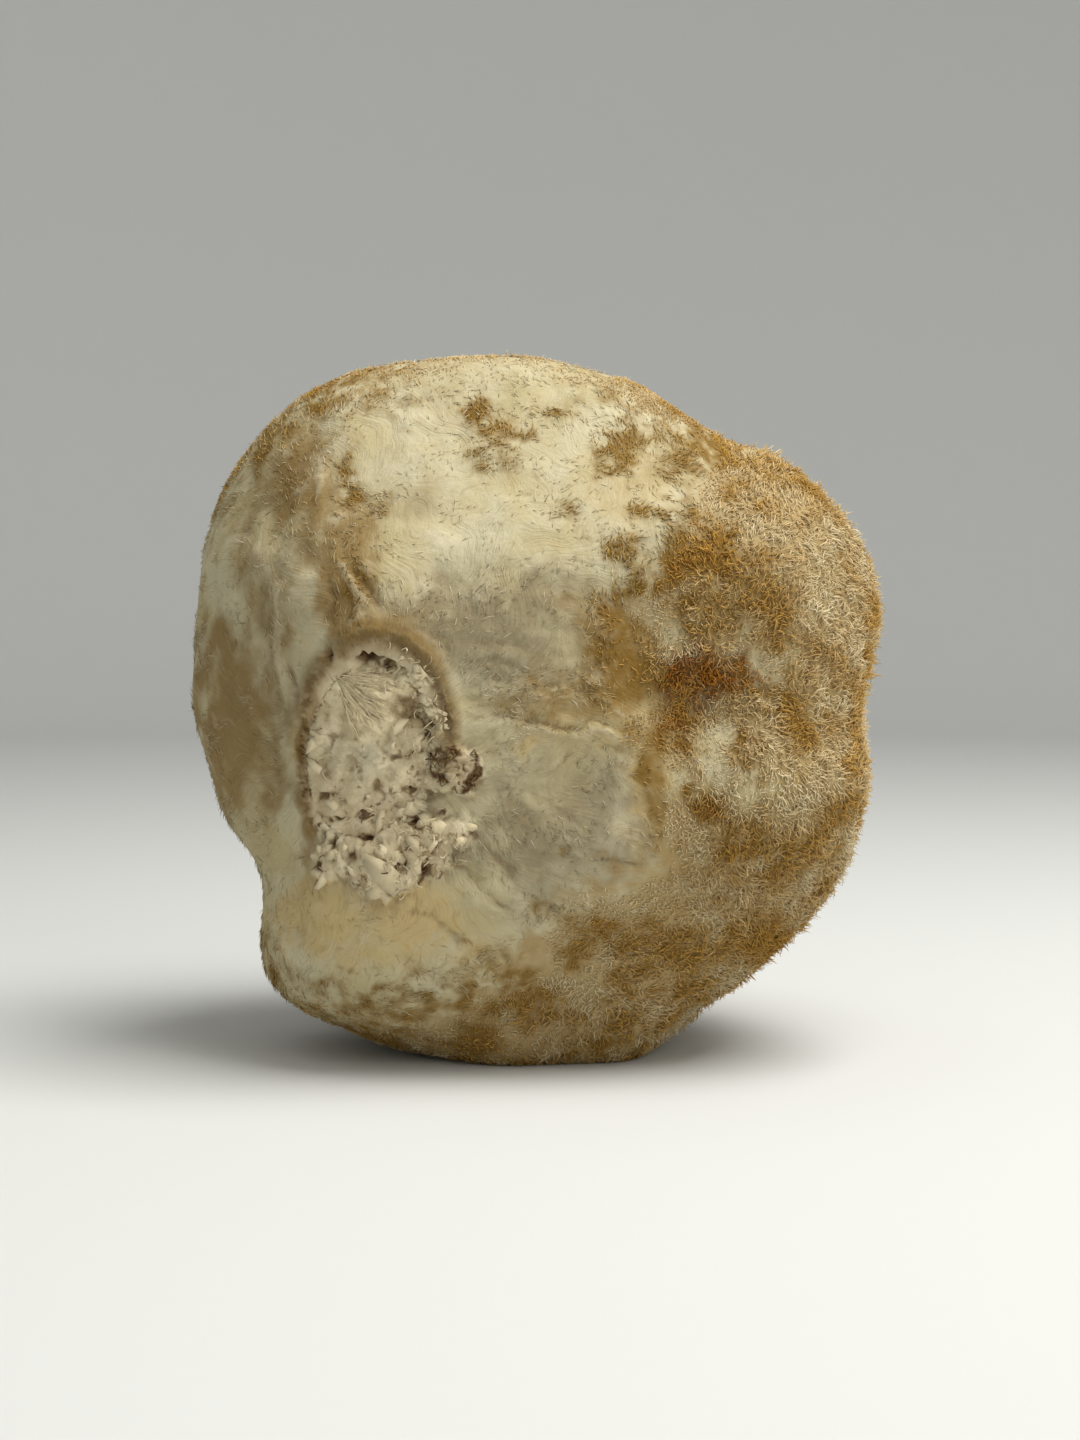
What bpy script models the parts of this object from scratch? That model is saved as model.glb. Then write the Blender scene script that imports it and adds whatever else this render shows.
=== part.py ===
"""A dried lion's mane mushroom, standing on the side of its rim that was pressed flat as it dried.

The stem side faces -Y: bare, cream flesh with the torn oval scar where the stem was cut. Spines
cover the rim and the whole far side. The mushroom grew in one piece, so it is one closed mesh.
Units are metres, +Z is up, and the origin is in the middle of what the mushroom stands on.
"""

import math
import random

import bmesh
import bpy
import numpy as np
from mathutils import Vector, noise

MM = 0.001

# Driving dimensions
HALF_WIDTH = 46.6 * MM
MIDDLE = np.array([0.85, -5.0, 46.4]) * MM
FRONT_DEPTH = 0.62 * HALF_WIDTH
BACK_DEPTH = 0.86 * HALF_WIDTH
FRONT_SQUARENESS = 2.6
BACK_SQUARENESS = 2.15
SPINE_REACH = 3.6 * MM
FRONT_REACH = 0.42
RIM_WIDTH = 20 * MM

# The outline from the stem side: distance from the middle in half widths, every 15 degrees from +X
OUTLINE = (
    0.960, 1.015, 1.064, 1.044, 0.968, 1.006, 1.030, 1.072,
    1.143, 1.170, 1.122, 1.035, 1.036, 1.012, 0.960, 1.122,
    1.105, 1.060, 1.055, 1.035, 1.010, 1.014, 1.012, 1.002,
)

# The bare flesh from the stem side, in the same way, round a point of its own
BARE_MIDDLE = (-0.219 * HALF_WIDTH, 1.056 * HALF_WIDTH)
BARE_OUTLINE = (
    0.40, 0.43, 0.60, 0.97, 1.00, 0.98, 0.95, 0.93,
    0.97, 0.96, 0.96, 0.98, 1.00, 1.00, 1.00, 1.02,
    1.06, 1.00, 0.89, 0.76, 0.73, 0.73, 0.64, 0.52,
)
SHORT_SPINES = 11 * MM
EDGE_WANDER = 9 * MM
EDGE_WANDER_SIZE = 15 * MM
FLANK_WRAP = 16 * MM
FLANK_WRAP_START = 22 * MM

# Where the stem side is looked at from. Places on it are given as (across, up), as they look from there
VIEW_DISTANCE = 0.34
VIEW_PITCH = math.radians(3)
VIEW_TARGET = np.array([0.0, 0.0, 44.8]) * MM

# The stem's scar: a torn oval hollow with a lip
SCAR_MIDDLE = (-23.4 * MM, 40.6 * MM)
SCAR_HALF_WIDTH = 10.2 * MM
SCAR_HALF_HEIGHT = 15.0 * MM
SCAR_TURN = math.radians(-6)
SCAR_DEPTH = 1.5 * MM
SCAR_BOSS = 2.4 * MM
LIP_HEIGHT = 1.5 * MM
LIP_WIDTH = 0.13

# The top leans back above the shoulder, and the left flank falls away beside the scar
SHOULDER_HEIGHT = 64 * MM
SHOULDER_SLOPE = 0.50
FLANK_START = 30 * MM
FLANK_SLOPE = 0.75
BEND_WIDTH = 3.0 * MM

# Swellings (+) and hollows (-) of the stem side: across, up, half width, half height, rise, in mm
SWELLINGS = (
    (15, 60, 9, 9, -1.8),
    (22, 46, 8, 6, -1.5),
    (33, 33, 10, 10, 2.2),
    (33, 70, 10, 9, 2.0),
    (5, 24, 16, 8, 1.2),
    (-30, 68, 5, 12, 1.2),
    (2, 44, 10, 3, 0.7),
    (-33, 16, 7, 7, 1.4),
    (-13, 18, 9, 5, 1.0),
)

# Unevenness of the whole body: size and height of its lumps, in mm
LUMPS = ((25, 1.8), (11, 0.7))

# Mesh: points spread over the body, closer together in the scar
SEED = 7
BODY_POINTS = 2600
SCAR_POINTS = 9000
SCAR_ZONE = 1.35
UNEVENNESS = 0.32
GOLDEN_TURN = math.pi * (3 - math.sqrt(5))

# Spines: each stands on a face of its own, combed away from the scar
SHORTEST_SPINE = 0.6 * MM
SPINE_SPREAD = 0.25
SPINE_LEAN = 0.75
PRESSED_BELOW = 6 * MM


def around(shares, turn):
    """The value at each angle on the smooth closed curve through evenly spaced shares."""
    shares = np.asarray(shares)
    place = np.asarray(turn) / math.tau * len(shares)
    low = np.floor(place).astype(int)
    t = place - low
    a, b, c, d = (shares[(low + step) % len(shares)] for step in (-1, 0, 1, 2))
    return b + 0.5 * t * (c - a + t * (2 * a - 5 * b + 4 * c - d + t * (3 * (b - c) + d - a)))


def smooth_step(value):
    """0 below 0, 1 above 1, and an even rise between."""
    t = np.clip(value, 0, 1)
    return t * t * (3 - 2 * t)


def bend(distance):
    """0 before a bend and the distance after it, with the corner rounded over BEND_WIDTH."""
    return BEND_WIDTH * np.logaddexp(0, distance / BEND_WIDTH)


def seen(points):
    """(across, up) of each point as it looks from the viewing point, at the body's middle depth."""
    forward = np.array([0.0, math.cos(VIEW_PITCH), -math.sin(VIEW_PITCH)])
    upward = np.array([0.0, math.sin(VIEW_PITCH), math.cos(VIEW_PITCH)])
    ray = points - (VIEW_TARGET - VIEW_DISTANCE * forward)
    scale = VIEW_DISTANCE / (ray @ forward)
    return ray[:, 0] * scale, VIEW_TARGET[2] + (ray @ upward) * scale


def facing(points):
    """How far each point is on the stem side: 1 well in front of the rim, 0 behind it."""
    return smooth_step(-(points[:, 1] - MIDDLE[1]) / (0.4 * FRONT_DEPTH))


def past_bare(points):
    """How far each point is outside the bare flesh, in metres, and below 0 on it."""
    across, up = seen(points)
    across, up = across - BARE_MIDDLE[0], up - BARE_MIDDLE[1]
    edge = HALF_WIDTH * around(BARE_OUTLINE, np.arctan2(up, across))
    behind = points[:, 1] - MIDDLE[1] + EDGE_WANDER * lumps(points, EDGE_WANDER_SIZE)
    behind -= FLANK_WRAP * smooth_step((-points[:, 0] - FLANK_WRAP_START) / FLANK_WRAP)
    return np.maximum(np.hypot(across, up) - edge, behind)


def scar_place(points):
    """How far each point is from the scar's middle, 1 on its edge, and its angle round the scar."""
    across, up = seen(points)
    across, up = across - SCAR_MIDDLE[0], up - SCAR_MIDDLE[1]
    x = (across * math.cos(SCAR_TURN) + up * math.sin(SCAR_TURN)) / SCAR_HALF_WIDTH
    z = (up * math.cos(SCAR_TURN) - across * math.sin(SCAR_TURN)) / SCAR_HALF_HEIGHT
    return np.hypot(x, z), np.arctan2(z, x)


def lumps(points, size):
    """Smooth noise from about -1 to 1 at each point, with features of that size."""
    return np.array([noise.noise(Vector(p)) for p in points / size])


def body(directions):
    """The points of the body's outer form, which the spines' tips reach, in these directions."""
    x, y, z = directions.T
    rim = HALF_WIDTH * around(OUTLINE, np.arctan2(z, x))
    depth = np.where(y < 0, FRONT_DEPTH, BACK_DEPTH)
    power = np.where(y < 0, FRONT_SQUARENESS, BACK_SQUARENESS)
    reach = ((np.hypot(x, z) / rim) ** power + (np.abs(y) / depth) ** power) ** (-1 / power)
    points = MIDDLE + reach[:, None] * directions
    for size, height in np.array(LUMPS) * MM:
        points += directions * (height * lumps(points, size))[:, None]
    front = np.maximum(MIDDLE[1] - points[:, 1], 0) / FRONT_DEPTH
    points[:, 1] += front * SHOULDER_SLOPE * bend(points[:, 2] - SHOULDER_HEIGHT)
    points[:, 1] += front * FLANK_SLOPE * bend(-points[:, 0] - FLANK_START)
    return points - directions * spine_length(points)[:, None]


def spine_length(points):
    """How far spines stand out at each point, less in front, and not on bare or pressed flesh."""
    grown = smooth_step(0.2 + past_bare(points) / SHORT_SPINES)
    pressed = smooth_step(points[:, 2] / PRESSED_BELOW)
    front = smooth_step(0.6 - (points[:, 1] - MIDDLE[1]) / RIM_WIDTH)
    return SPINE_REACH * grown * pressed * (1 - (1 - FRONT_REACH) * front)


def raise_features(points):
    """Adds the swellings and the scar to the stem side, by moving points along Y."""
    across, up = seen(points)
    rise = np.zeros(len(points))
    for middle_x, middle_z, half_x, half_z, height in np.array(SWELLINGS) * MM:
        far = ((across - middle_x) / half_x) ** 2 + ((up - middle_z) / half_z) ** 2
        rise += height * np.exp(-far)
    far, turn = scar_place(points)
    rise += SCAR_BOSS * np.exp(-((far / 1.5) ** 2))
    rise -= SCAR_DEPTH * smooth_step((1.02 - far) / 0.22)
    upper = smooth_step(0.6 + np.sin(turn))
    rise += LIP_HEIGHT * upper * np.exp(-(((far - 1.1) / LIP_WIDTH) ** 2))
    points[:, 1] -= rise * facing(points)
    return points


def spread(count, rng):
    """That many directions, evenly spread over a ball and then moved a little at random."""
    step = np.arange(count) + 0.5
    z = 1 - 2 * step / count
    turn = step * GOLDEN_TURN
    ring = np.sqrt(1 - z * z)
    directions = np.stack([ring * np.cos(turn), ring * np.sin(turn), z], axis=1)
    directions += rng.normal(0, UNEVENNESS * math.sqrt(4 / count), directions.shape)
    return directions / np.linalg.norm(directions, axis=1)[:, None]


def in_scar_zone(directions):
    """Whether each direction points at the scar or its surroundings."""
    return (scar_place(body(directions))[0] < SCAR_ZONE) & (directions[:, 1] < 0)


def ball():
    """A ball of uneven triangles, smaller ones where the scar will be."""
    rng = np.random.default_rng(SEED)
    coarse, fine = spread(BODY_POINTS, rng), spread(SCAR_POINTS, rng)
    mesh = bmesh.new()
    for direction in (*coarse[~in_scar_zone(coarse)], *fine[in_scar_zone(fine)]):
        mesh.verts.new(direction)
    bmesh.ops.convex_hull(mesh, input=mesh.verts)
    bmesh.ops.recalc_face_normals(mesh, faces=mesh.faces)
    return mesh


def shape(mesh):
    """Gives the ball the mushroom's form, and presses flat what would be below the surface."""
    points = np.array([v.co for v in mesh.verts])
    points = raise_features(body(points / np.linalg.norm(points, axis=1)[:, None]))
    points[:, 2] = np.maximum(points[:, 2], 0)
    for vertex, point in zip(mesh.verts, points):
        vertex.co = point
    mesh.normal_update()


def spine_faces(mesh):
    """Faces of the spiny side, no two of them neighbours, each to carry one spine."""
    middles = np.array([f.calc_center_median() for f in mesh.faces])
    chosen, taken = [], set()
    for face, length in zip(mesh.faces, spine_length(middles)):
        if length > SHORTEST_SPINE and face.index not in taken:
            chosen.append(face)
            taken.update(near.index for edge in face.edges for near in edge.link_faces)
    return chosen


def grow_spines(mesh):
    """Raises a leaning spine on each chosen face, combed away from the scar."""
    rng = random.Random(SEED)
    mesh.faces.index_update()
    scar = Vector((SCAR_MIDDLE[0], -FRONT_DEPTH, SCAR_MIDDLE[1]))
    for face in spine_faces(mesh):
        middle = face.calc_center_median()
        away = (middle - scar).normalized()
        combed = (away - face.normal * away.dot(face.normal)).normalized()
        height = float(spine_length(np.array([middle]))[0])
        height *= 1 + rng.uniform(-SPINE_SPREAD, SPINE_SPREAD)
        tip = middle + height * (face.normal + SPINE_LEAN * combed)
        tip.z = max(tip.z, 0)
        made = bmesh.ops.poke(mesh, faces=[face])
        made["verts"][0].co = tip
        for side in made["faces"]:
            side.material_index = 1


def material(name, colour, roughness):
    """A plain finish."""
    made = bpy.data.materials.new(name)
    made.use_nodes = True
    surface = made.node_tree.nodes["Principled BSDF"]
    surface.inputs["Base Color"].default_value = (*colour, 1)
    surface.inputs["Roughness"].default_value = roughness
    surface.inputs["Metallic"].default_value = 0
    return made


def mushroom():
    """The whole mushroom as one object."""
    mesh = ball()
    shape(mesh)
    grow_spines(mesh)
    data = bpy.data.meshes.new("mushroom")
    mesh.to_mesh(data)
    mesh.free()
    data.materials.append(material("flesh", (0.60, 0.51, 0.34), 0.85))
    data.materials.append(material("spines", (0.40, 0.24, 0.10), 0.9))
    made = bpy.data.objects.new("mushroom", data)
    bpy.context.scene.collection.objects.link(made)
    return made


def main():
    for old in list(bpy.data.objects):
        bpy.data.objects.remove(old)
    mushroom()


main()
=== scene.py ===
"""The looks of a dried lion's mane mushroom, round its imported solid.

The flesh is one fine skin with the solid's own form, and its folds, scar and stains are worked in
as points and masks. Thousands of thin spines, joined into a few meshes, stand on it where the
solid has its coarse ones. Places on the stem side are (across, up) in mm, as they look from the
viewing point. Units are metres otherwise, in the solid's frame.
"""

import math

import bmesh
import bpy
import numpy as np
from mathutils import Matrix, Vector, bvhtree, kdtree, noise


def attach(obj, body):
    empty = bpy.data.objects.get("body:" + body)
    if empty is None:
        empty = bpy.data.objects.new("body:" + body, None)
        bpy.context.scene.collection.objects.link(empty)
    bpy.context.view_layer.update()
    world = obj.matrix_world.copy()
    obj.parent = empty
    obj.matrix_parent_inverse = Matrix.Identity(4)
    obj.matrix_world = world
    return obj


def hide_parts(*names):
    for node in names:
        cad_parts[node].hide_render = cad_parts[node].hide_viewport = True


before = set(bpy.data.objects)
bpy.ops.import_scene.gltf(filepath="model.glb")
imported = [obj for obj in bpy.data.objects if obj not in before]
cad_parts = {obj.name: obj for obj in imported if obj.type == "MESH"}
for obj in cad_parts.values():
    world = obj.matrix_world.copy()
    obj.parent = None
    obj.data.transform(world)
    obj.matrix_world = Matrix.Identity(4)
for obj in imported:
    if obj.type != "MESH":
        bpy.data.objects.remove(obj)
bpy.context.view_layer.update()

MM = 0.001

# The solid's form, from the same values as its source
HALF_WIDTH = 46.6 * MM
MIDDLE = np.array([0.85, -5.0, 46.4]) * MM
FRONT_DEPTH = 0.62 * HALF_WIDTH
BACK_DEPTH = 0.86 * HALF_WIDTH
FRONT_SQUARENESS = 2.6
BACK_SQUARENESS = 2.15
SPINE_REACH = 3.6 * MM
FRONT_REACH = 0.42
RIM_WIDTH = 20 * MM
OUTLINE = (
    0.960, 1.015, 1.064, 1.044, 0.968, 1.006, 1.030, 1.072,
    1.143, 1.170, 1.122, 1.035, 1.036, 1.012, 0.960, 1.122,
    1.105, 1.060, 1.055, 1.035, 1.010, 1.014, 1.012, 1.002,
)
BARE_MIDDLE = (-0.219 * HALF_WIDTH, 1.056 * HALF_WIDTH)
BARE_OUTLINE = (
    0.40, 0.43, 0.60, 0.97, 1.00, 0.98, 0.95, 0.93,
    0.97, 0.96, 0.96, 0.98, 1.00, 1.00, 1.00, 1.02,
    1.06, 1.00, 0.89, 0.76, 0.73, 0.73, 0.64, 0.52,
)
SHORT_SPINES = 11 * MM
EDGE_WANDER = 9 * MM
EDGE_WANDER_SIZE = 15 * MM
FLANK_WRAP = 16 * MM
FLANK_WRAP_START = 22 * MM
VIEW_DISTANCE = 0.34
VIEW_PITCH = math.radians(3)
VIEW_TARGET = np.array([0.0, 0.0, 44.8]) * MM
VIEW_FORWARD = np.array([0.0, math.cos(VIEW_PITCH), -math.sin(VIEW_PITCH)])
VIEW_UPWARD = np.array([0.0, math.sin(VIEW_PITCH), math.cos(VIEW_PITCH)])
EYE = VIEW_TARGET - VIEW_DISTANCE * VIEW_FORWARD
SCAR_MIDDLE = (-23.4 * MM, 40.6 * MM)
SCAR_HALF_WIDTH = 10.2 * MM
SCAR_HALF_HEIGHT = 15.0 * MM
SCAR_TURN = math.radians(-6)
SCAR_DEPTH = 1.5 * MM
SCAR_EDGE = 1.02
SCAR_SLOPE = 0.22
SCAR_BOSS = 2.4 * MM
LIP_HEIGHT = 1.5 * MM
LIP_PLACE = 1.1
LIP_WIDTH = 0.13
SHOULDER_HEIGHT = 64 * MM
SHOULDER_SLOPE = 0.50
FLANK_START = 30 * MM
FLANK_SLOPE = 0.75
BEND_WIDTH = 3.0 * MM
SWELLINGS = (
    (15, 60, 9, 9, -1.8), (22, 46, 8, 6, -1.5), (33, 33, 10, 10, 2.2), (33, 70, 10, 9, 2),
    (5, 24, 16, 8, 1.2), (-30, 68, 5, 12, 1.2), (2, 44, 10, 3, 0.7), (-33, 16, 7, 7, 1.4),
    (-13, 18, 9, 5, 1),
)
LUMPS = ((25, 1.8), (11, 0.7))
PRESSED_BELOW = 6 * MM
SHOWN_PAST_RIM = 16 * MM
CALM_FOOT = 3 * MM

# The skin: how far apart its points are in the scar, on the bare flesh and under the spines, in mm
SEED = 11
SCAR_SPACING = 0.20
BARE_SPACING = 0.40
SPINY_SPACING = 1.1
SCAR_ZONE = 1.35
BARE_MARGIN = 3 * MM
UNEVENNESS = 0.2
GOLDEN_TURN = math.pi * (3 - math.sqrt(5))


def around(shares, turn):
    """The value at each angle on the smooth closed curve through evenly spaced shares."""
    shares = np.asarray(shares)
    place = np.asarray(turn) / math.tau * len(shares)
    low = np.floor(place).astype(int)
    t = place - low
    a, b, c, d = (shares[(low + step) % len(shares)] for step in (-1, 0, 1, 2))
    return b + 0.5 * t * (c - a + t * (2 * a - 5 * b + 4 * c - d + t * (3 * (b - c) + d - a)))


def smooth_step(value):
    """0 below 0, 1 above 1, and an even rise between."""
    t = np.clip(value, 0, 1)
    return t * t * (3 - 2 * t)


def bend(distance):
    """0 before a bend and the distance after it, with the corner rounded over BEND_WIDTH."""
    return BEND_WIDTH * np.logaddexp(0, distance / BEND_WIDTH)


def hill(far, width):
    """1 where far is 0, and a smooth fall to nothing beyond that width on both sides."""
    return np.exp(-((far / width) ** 2))


def mounds(across, up, table, sharpness=1.0):
    """The heights of a table's mounds, or the depths of its pits, added up at each place."""
    total = np.zeros(len(across))
    for middle_x, middle_y, half_x, half_y, height in table:
        far = ((across - middle_x) / half_x) ** 2 + ((up - middle_y) / half_y) ** 2
        total += height * np.exp(-sharpness * far)
    return total


def seen(points):
    """(across, up) of each point as it looks from the viewing point, in metres."""
    ray = points - EYE
    scale = VIEW_DISTANCE / (ray @ VIEW_FORWARD)
    return ray[:, 0] * scale, VIEW_TARGET[2] + (ray @ VIEW_UPWARD) * scale


def mm_seen(points):
    """(across, up) of each point as it looks from the viewing point, in mm."""
    across, up = seen(points)
    return across / MM, up / MM


def facing(points):
    """How far each point is on the stem side: 1 well in front of the rim, 0 behind it."""
    return smooth_step(-(points[:, 1] - MIDDLE[1]) / (0.4 * FRONT_DEPTH))


def shown(points):
    """How far each point can be seen from the stem side: 1 up to the rim, 0 well behind it."""
    return 1 - smooth_step((points[:, 1] - MIDDLE[1]) / SHOWN_PAST_RIM)


def front_side(points):
    """1 on the stem side and its rim, 0 well behind it."""
    return smooth_step(0.6 - (points[:, 1] - MIDDLE[1]) / RIM_WIDTH)


def lumps(points, size):
    """The solid's own unevenness, with features of that size in metres."""
    return np.array([noise.noise(Vector(p)) for p in points / size])


def past_bare(points):
    """How far each point is outside the bare flesh, in metres, and below 0 on it."""
    across, up = seen(points)
    across, up = across - BARE_MIDDLE[0], up - BARE_MIDDLE[1]
    edge = HALF_WIDTH * around(BARE_OUTLINE, np.arctan2(up, across))
    behind = points[:, 1] - MIDDLE[1] + EDGE_WANDER * lumps(points, EDGE_WANDER_SIZE)
    behind -= FLANK_WRAP * smooth_step((-points[:, 0] - FLANK_WRAP_START) / FLANK_WRAP)
    return np.maximum(np.hypot(across, up) - edge, behind)


def scar_place(points):
    """How far each point is from the scar's middle, 1 on its edge, and its angle round the scar."""
    across, up = seen(points)
    across, up = across - SCAR_MIDDLE[0], up - SCAR_MIDDLE[1]
    x = (across * math.cos(SCAR_TURN) + up * math.sin(SCAR_TURN)) / SCAR_HALF_WIDTH
    z = (up * math.cos(SCAR_TURN) - across * math.sin(SCAR_TURN)) / SCAR_HALF_HEIGHT
    return np.hypot(x, z), np.arctan2(z, x)


def spine_length(points):
    """How far spines stand out at each point: not on bare flesh, nor where it was pressed flat."""
    grown = smooth_step(0.2 + past_bare(points) / SHORT_SPINES)
    pressed = smooth_step(points[:, 2] / PRESSED_BELOW)
    return SPINE_REACH * grown * pressed * (1 - (1 - FRONT_REACH) * front_side(points))


def body(directions):
    """The points of the body's skin in these directions."""
    x, y, z = directions.T
    rim = HALF_WIDTH * around(OUTLINE, np.arctan2(z, x))
    depth = np.where(y < 0, FRONT_DEPTH, BACK_DEPTH)
    power = np.where(y < 0, FRONT_SQUARENESS, BACK_SQUARENESS)
    reach = ((np.hypot(x, z) / rim) ** power + (np.abs(y) / depth) ** power) ** (-1 / power)
    points = MIDDLE + reach[:, None] * directions
    for size, height in np.array(LUMPS) * MM:
        points += directions * (height * lumps(points, size))[:, None]
    front = np.maximum(MIDDLE[1] - points[:, 1], 0) / FRONT_DEPTH
    points[:, 1] += front * SHOULDER_SLOPE * bend(points[:, 2] - SHOULDER_HEIGHT)
    points[:, 1] += front * FLANK_SLOPE * bend(-points[:, 0] - FLANK_START)
    return points - directions * spine_length(points)[:, None]


def raise_features(points):
    """Adds the swellings and the scar to the stem side, by moving points along Y."""
    rise = mounds(*seen(points), np.array(SWELLINGS) * MM)
    far, turn = scar_place(points)
    rise += SCAR_BOSS * hill(far, 1.5)
    rise -= SCAR_DEPTH * smooth_step((SCAR_EDGE - far) / SCAR_SLOPE)
    upper = smooth_step(0.6 + np.sin(turn))
    rise += LIP_HEIGHT * upper * hill(far - LIP_PLACE, LIP_WIDTH)
    points[:, 1] -= rise * facing(points)
    return points


def form(directions):
    """The skin with its large features, in these directions."""
    points = raise_features(body(directions))
    points[:, 2] = np.maximum(points[:, 2], 0)
    return points


def unit(vectors):
    """The vectors at length 1."""
    return vectors / np.maximum(np.linalg.norm(vectors, axis=1), 1e-12)[:, None]


def spread(count, rng):
    """That many directions, evenly spread over a ball and then moved a little at random."""
    step = np.arange(count) + 0.5
    z = 1 - 2 * step / count
    turn = step * GOLDEN_TURN
    ring = np.sqrt(1 - z * z)
    directions = np.stack([ring * np.cos(turn), ring * np.sin(turn), z], axis=1)
    directions += rng.normal(0, UNEVENNESS * math.sqrt(4 / count), directions.shape)
    return unit(directions)


def spread_apart(spacing, rng):
    """Directions about that many mm apart where the body is a half width from its middle."""
    area = 4 * math.pi * (HALF_WIDTH / MM) ** 2
    return spread(int(area / (0.866 * spacing**2)), rng)


# Noise that is quick on many points at once
NOISE_GAIN = 2.6
CORNERS = [(i, j, k) for i in (0, 1) for j in (0, 1) for k in (0, 1)]


def scatter(cells, seed):
    """A well mixed whole number for each cell of a grid."""
    x, y, z = (cells[:, axis].astype(np.uint32) for axis in range(3))
    mixed = x * np.uint32(374761393) + y * np.uint32(668265263) + z * np.uint32(2246822519)
    mixed += np.uint32(seed * 40503 + 977)
    mixed = (mixed ^ (mixed >> np.uint32(13))) * np.uint32(1274126177)
    mixed = (mixed ^ (mixed >> np.uint32(16))) * np.uint32(2654435769)
    return mixed ^ (mixed >> np.uint32(15))


def unpacked(mixed, shifts):
    """Even numbers from 0 to 1, one from the ten bits of each mixed number at each shift."""
    return [((mixed >> np.uint32(shift)) & np.uint32(1023)) / 1023 for shift in shifts]


def ripple(places, seed=0):
    """Smooth noise from about -1 to 1 at each place, with features about 1 across, for each seed another."""
    low = np.floor(places).astype(np.int64)
    part = places - low
    ease = part * part * part * (part * (part * 6 - 15) + 10)
    total = np.zeros(len(places))
    for corner in CORNERS:
        slopes = unpacked(scatter(low + corner, seed), (0, 10, 20))
        weight = np.ones(len(places))
        value = np.zeros(len(places))
        for axis, slope in enumerate(slopes):
            weight *= ease[:, axis] if corner[axis] else 1 - ease[:, axis]
            value += (2 * slope - 1) * (part[:, axis] - corner[axis])
        total += weight * value
    return total * NOISE_GAIN


def layered(places, seed=0, layers=3, fade=0.5):
    """Noise with finer and fainter layers of it added."""
    total = np.zeros(len(places))
    for layer in range(layers):
        total += fade**layer * ripple(places * 2**layer, seed + layer)
    return total


def hull(directions):
    """Triangles that join the directions into a closed ball, as rows of three indices."""
    mesh = bmesh.new()
    for direction in directions:
        mesh.verts.new(direction)
    mesh.verts.index_update()
    bmesh.ops.convex_hull(mesh, input=mesh.verts)
    bmesh.ops.recalc_face_normals(mesh, faces=mesh.faces)
    triangles = np.array([[v.index for v in face.verts] for face in mesh.faces])
    mesh.free()
    return triangles


def normals_of(points, triangles):
    """The smooth normal of each point of a closed mesh."""
    a, b, c = (points[triangles[:, corner]] for corner in range(3))
    flat = np.cross(b - a, c - a)
    normals = np.zeros_like(points)
    for corner in range(3):
        np.add.at(normals, triangles[:, corner], flat)
    return unit(normals)


def near_scar(points):
    """Whether each point is in the scar or close round it."""
    return (scar_place(points)[0] < SCAR_ZONE) & (points[:, 1] < MIDDLE[1])


def blots(across, up, table):
    """How strongly the blots of a table cover each place, 0 to about 1."""
    total = np.zeros(len(across))
    for middle_x, middle_y, half_x, half_y, strength in table:
        far = ((across - middle_x) / half_x) ** 2 + ((up - middle_y) / half_y) ** 2
        total = np.maximum(total, strength * np.exp(-(far**1.3)))
    return total


def needs_detail(points):
    """Whether the skin itself shows at each point: on bare flesh and where the spines are thin."""
    thin = blots(*mm_seen(points), BALD) * shown(points)
    return (past_bare(points) < BARE_MARGIN) | (thin > 0.1)


def skin_directions():
    """Directions for the skin's points, closest together in the scar."""
    rng = np.random.default_rng(SEED)
    scar_way = unit(np.array([[SCAR_MIDDLE[0], -FRONT_DEPTH, SCAR_MIDDLE[1] - MIDDLE[2]]]))[0]
    fine = spread_apart(SCAR_SPACING, rng)
    fine = fine[fine @ scar_way > 0.75]
    bare = spread_apart(BARE_SPACING, rng)
    bare = bare[bare[:, 1] < 0.3]
    rest = spread_apart(SPINY_SPACING, rng)
    chosen = [fine[near_scar(form(fine))]]
    for directions, wanted in ((bare, True), (rest, False)):
        places = form(directions)
        chosen.append(directions[(needs_detail(places) == wanted) & ~near_scar(places)])
    return np.concatenate(chosen)


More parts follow.
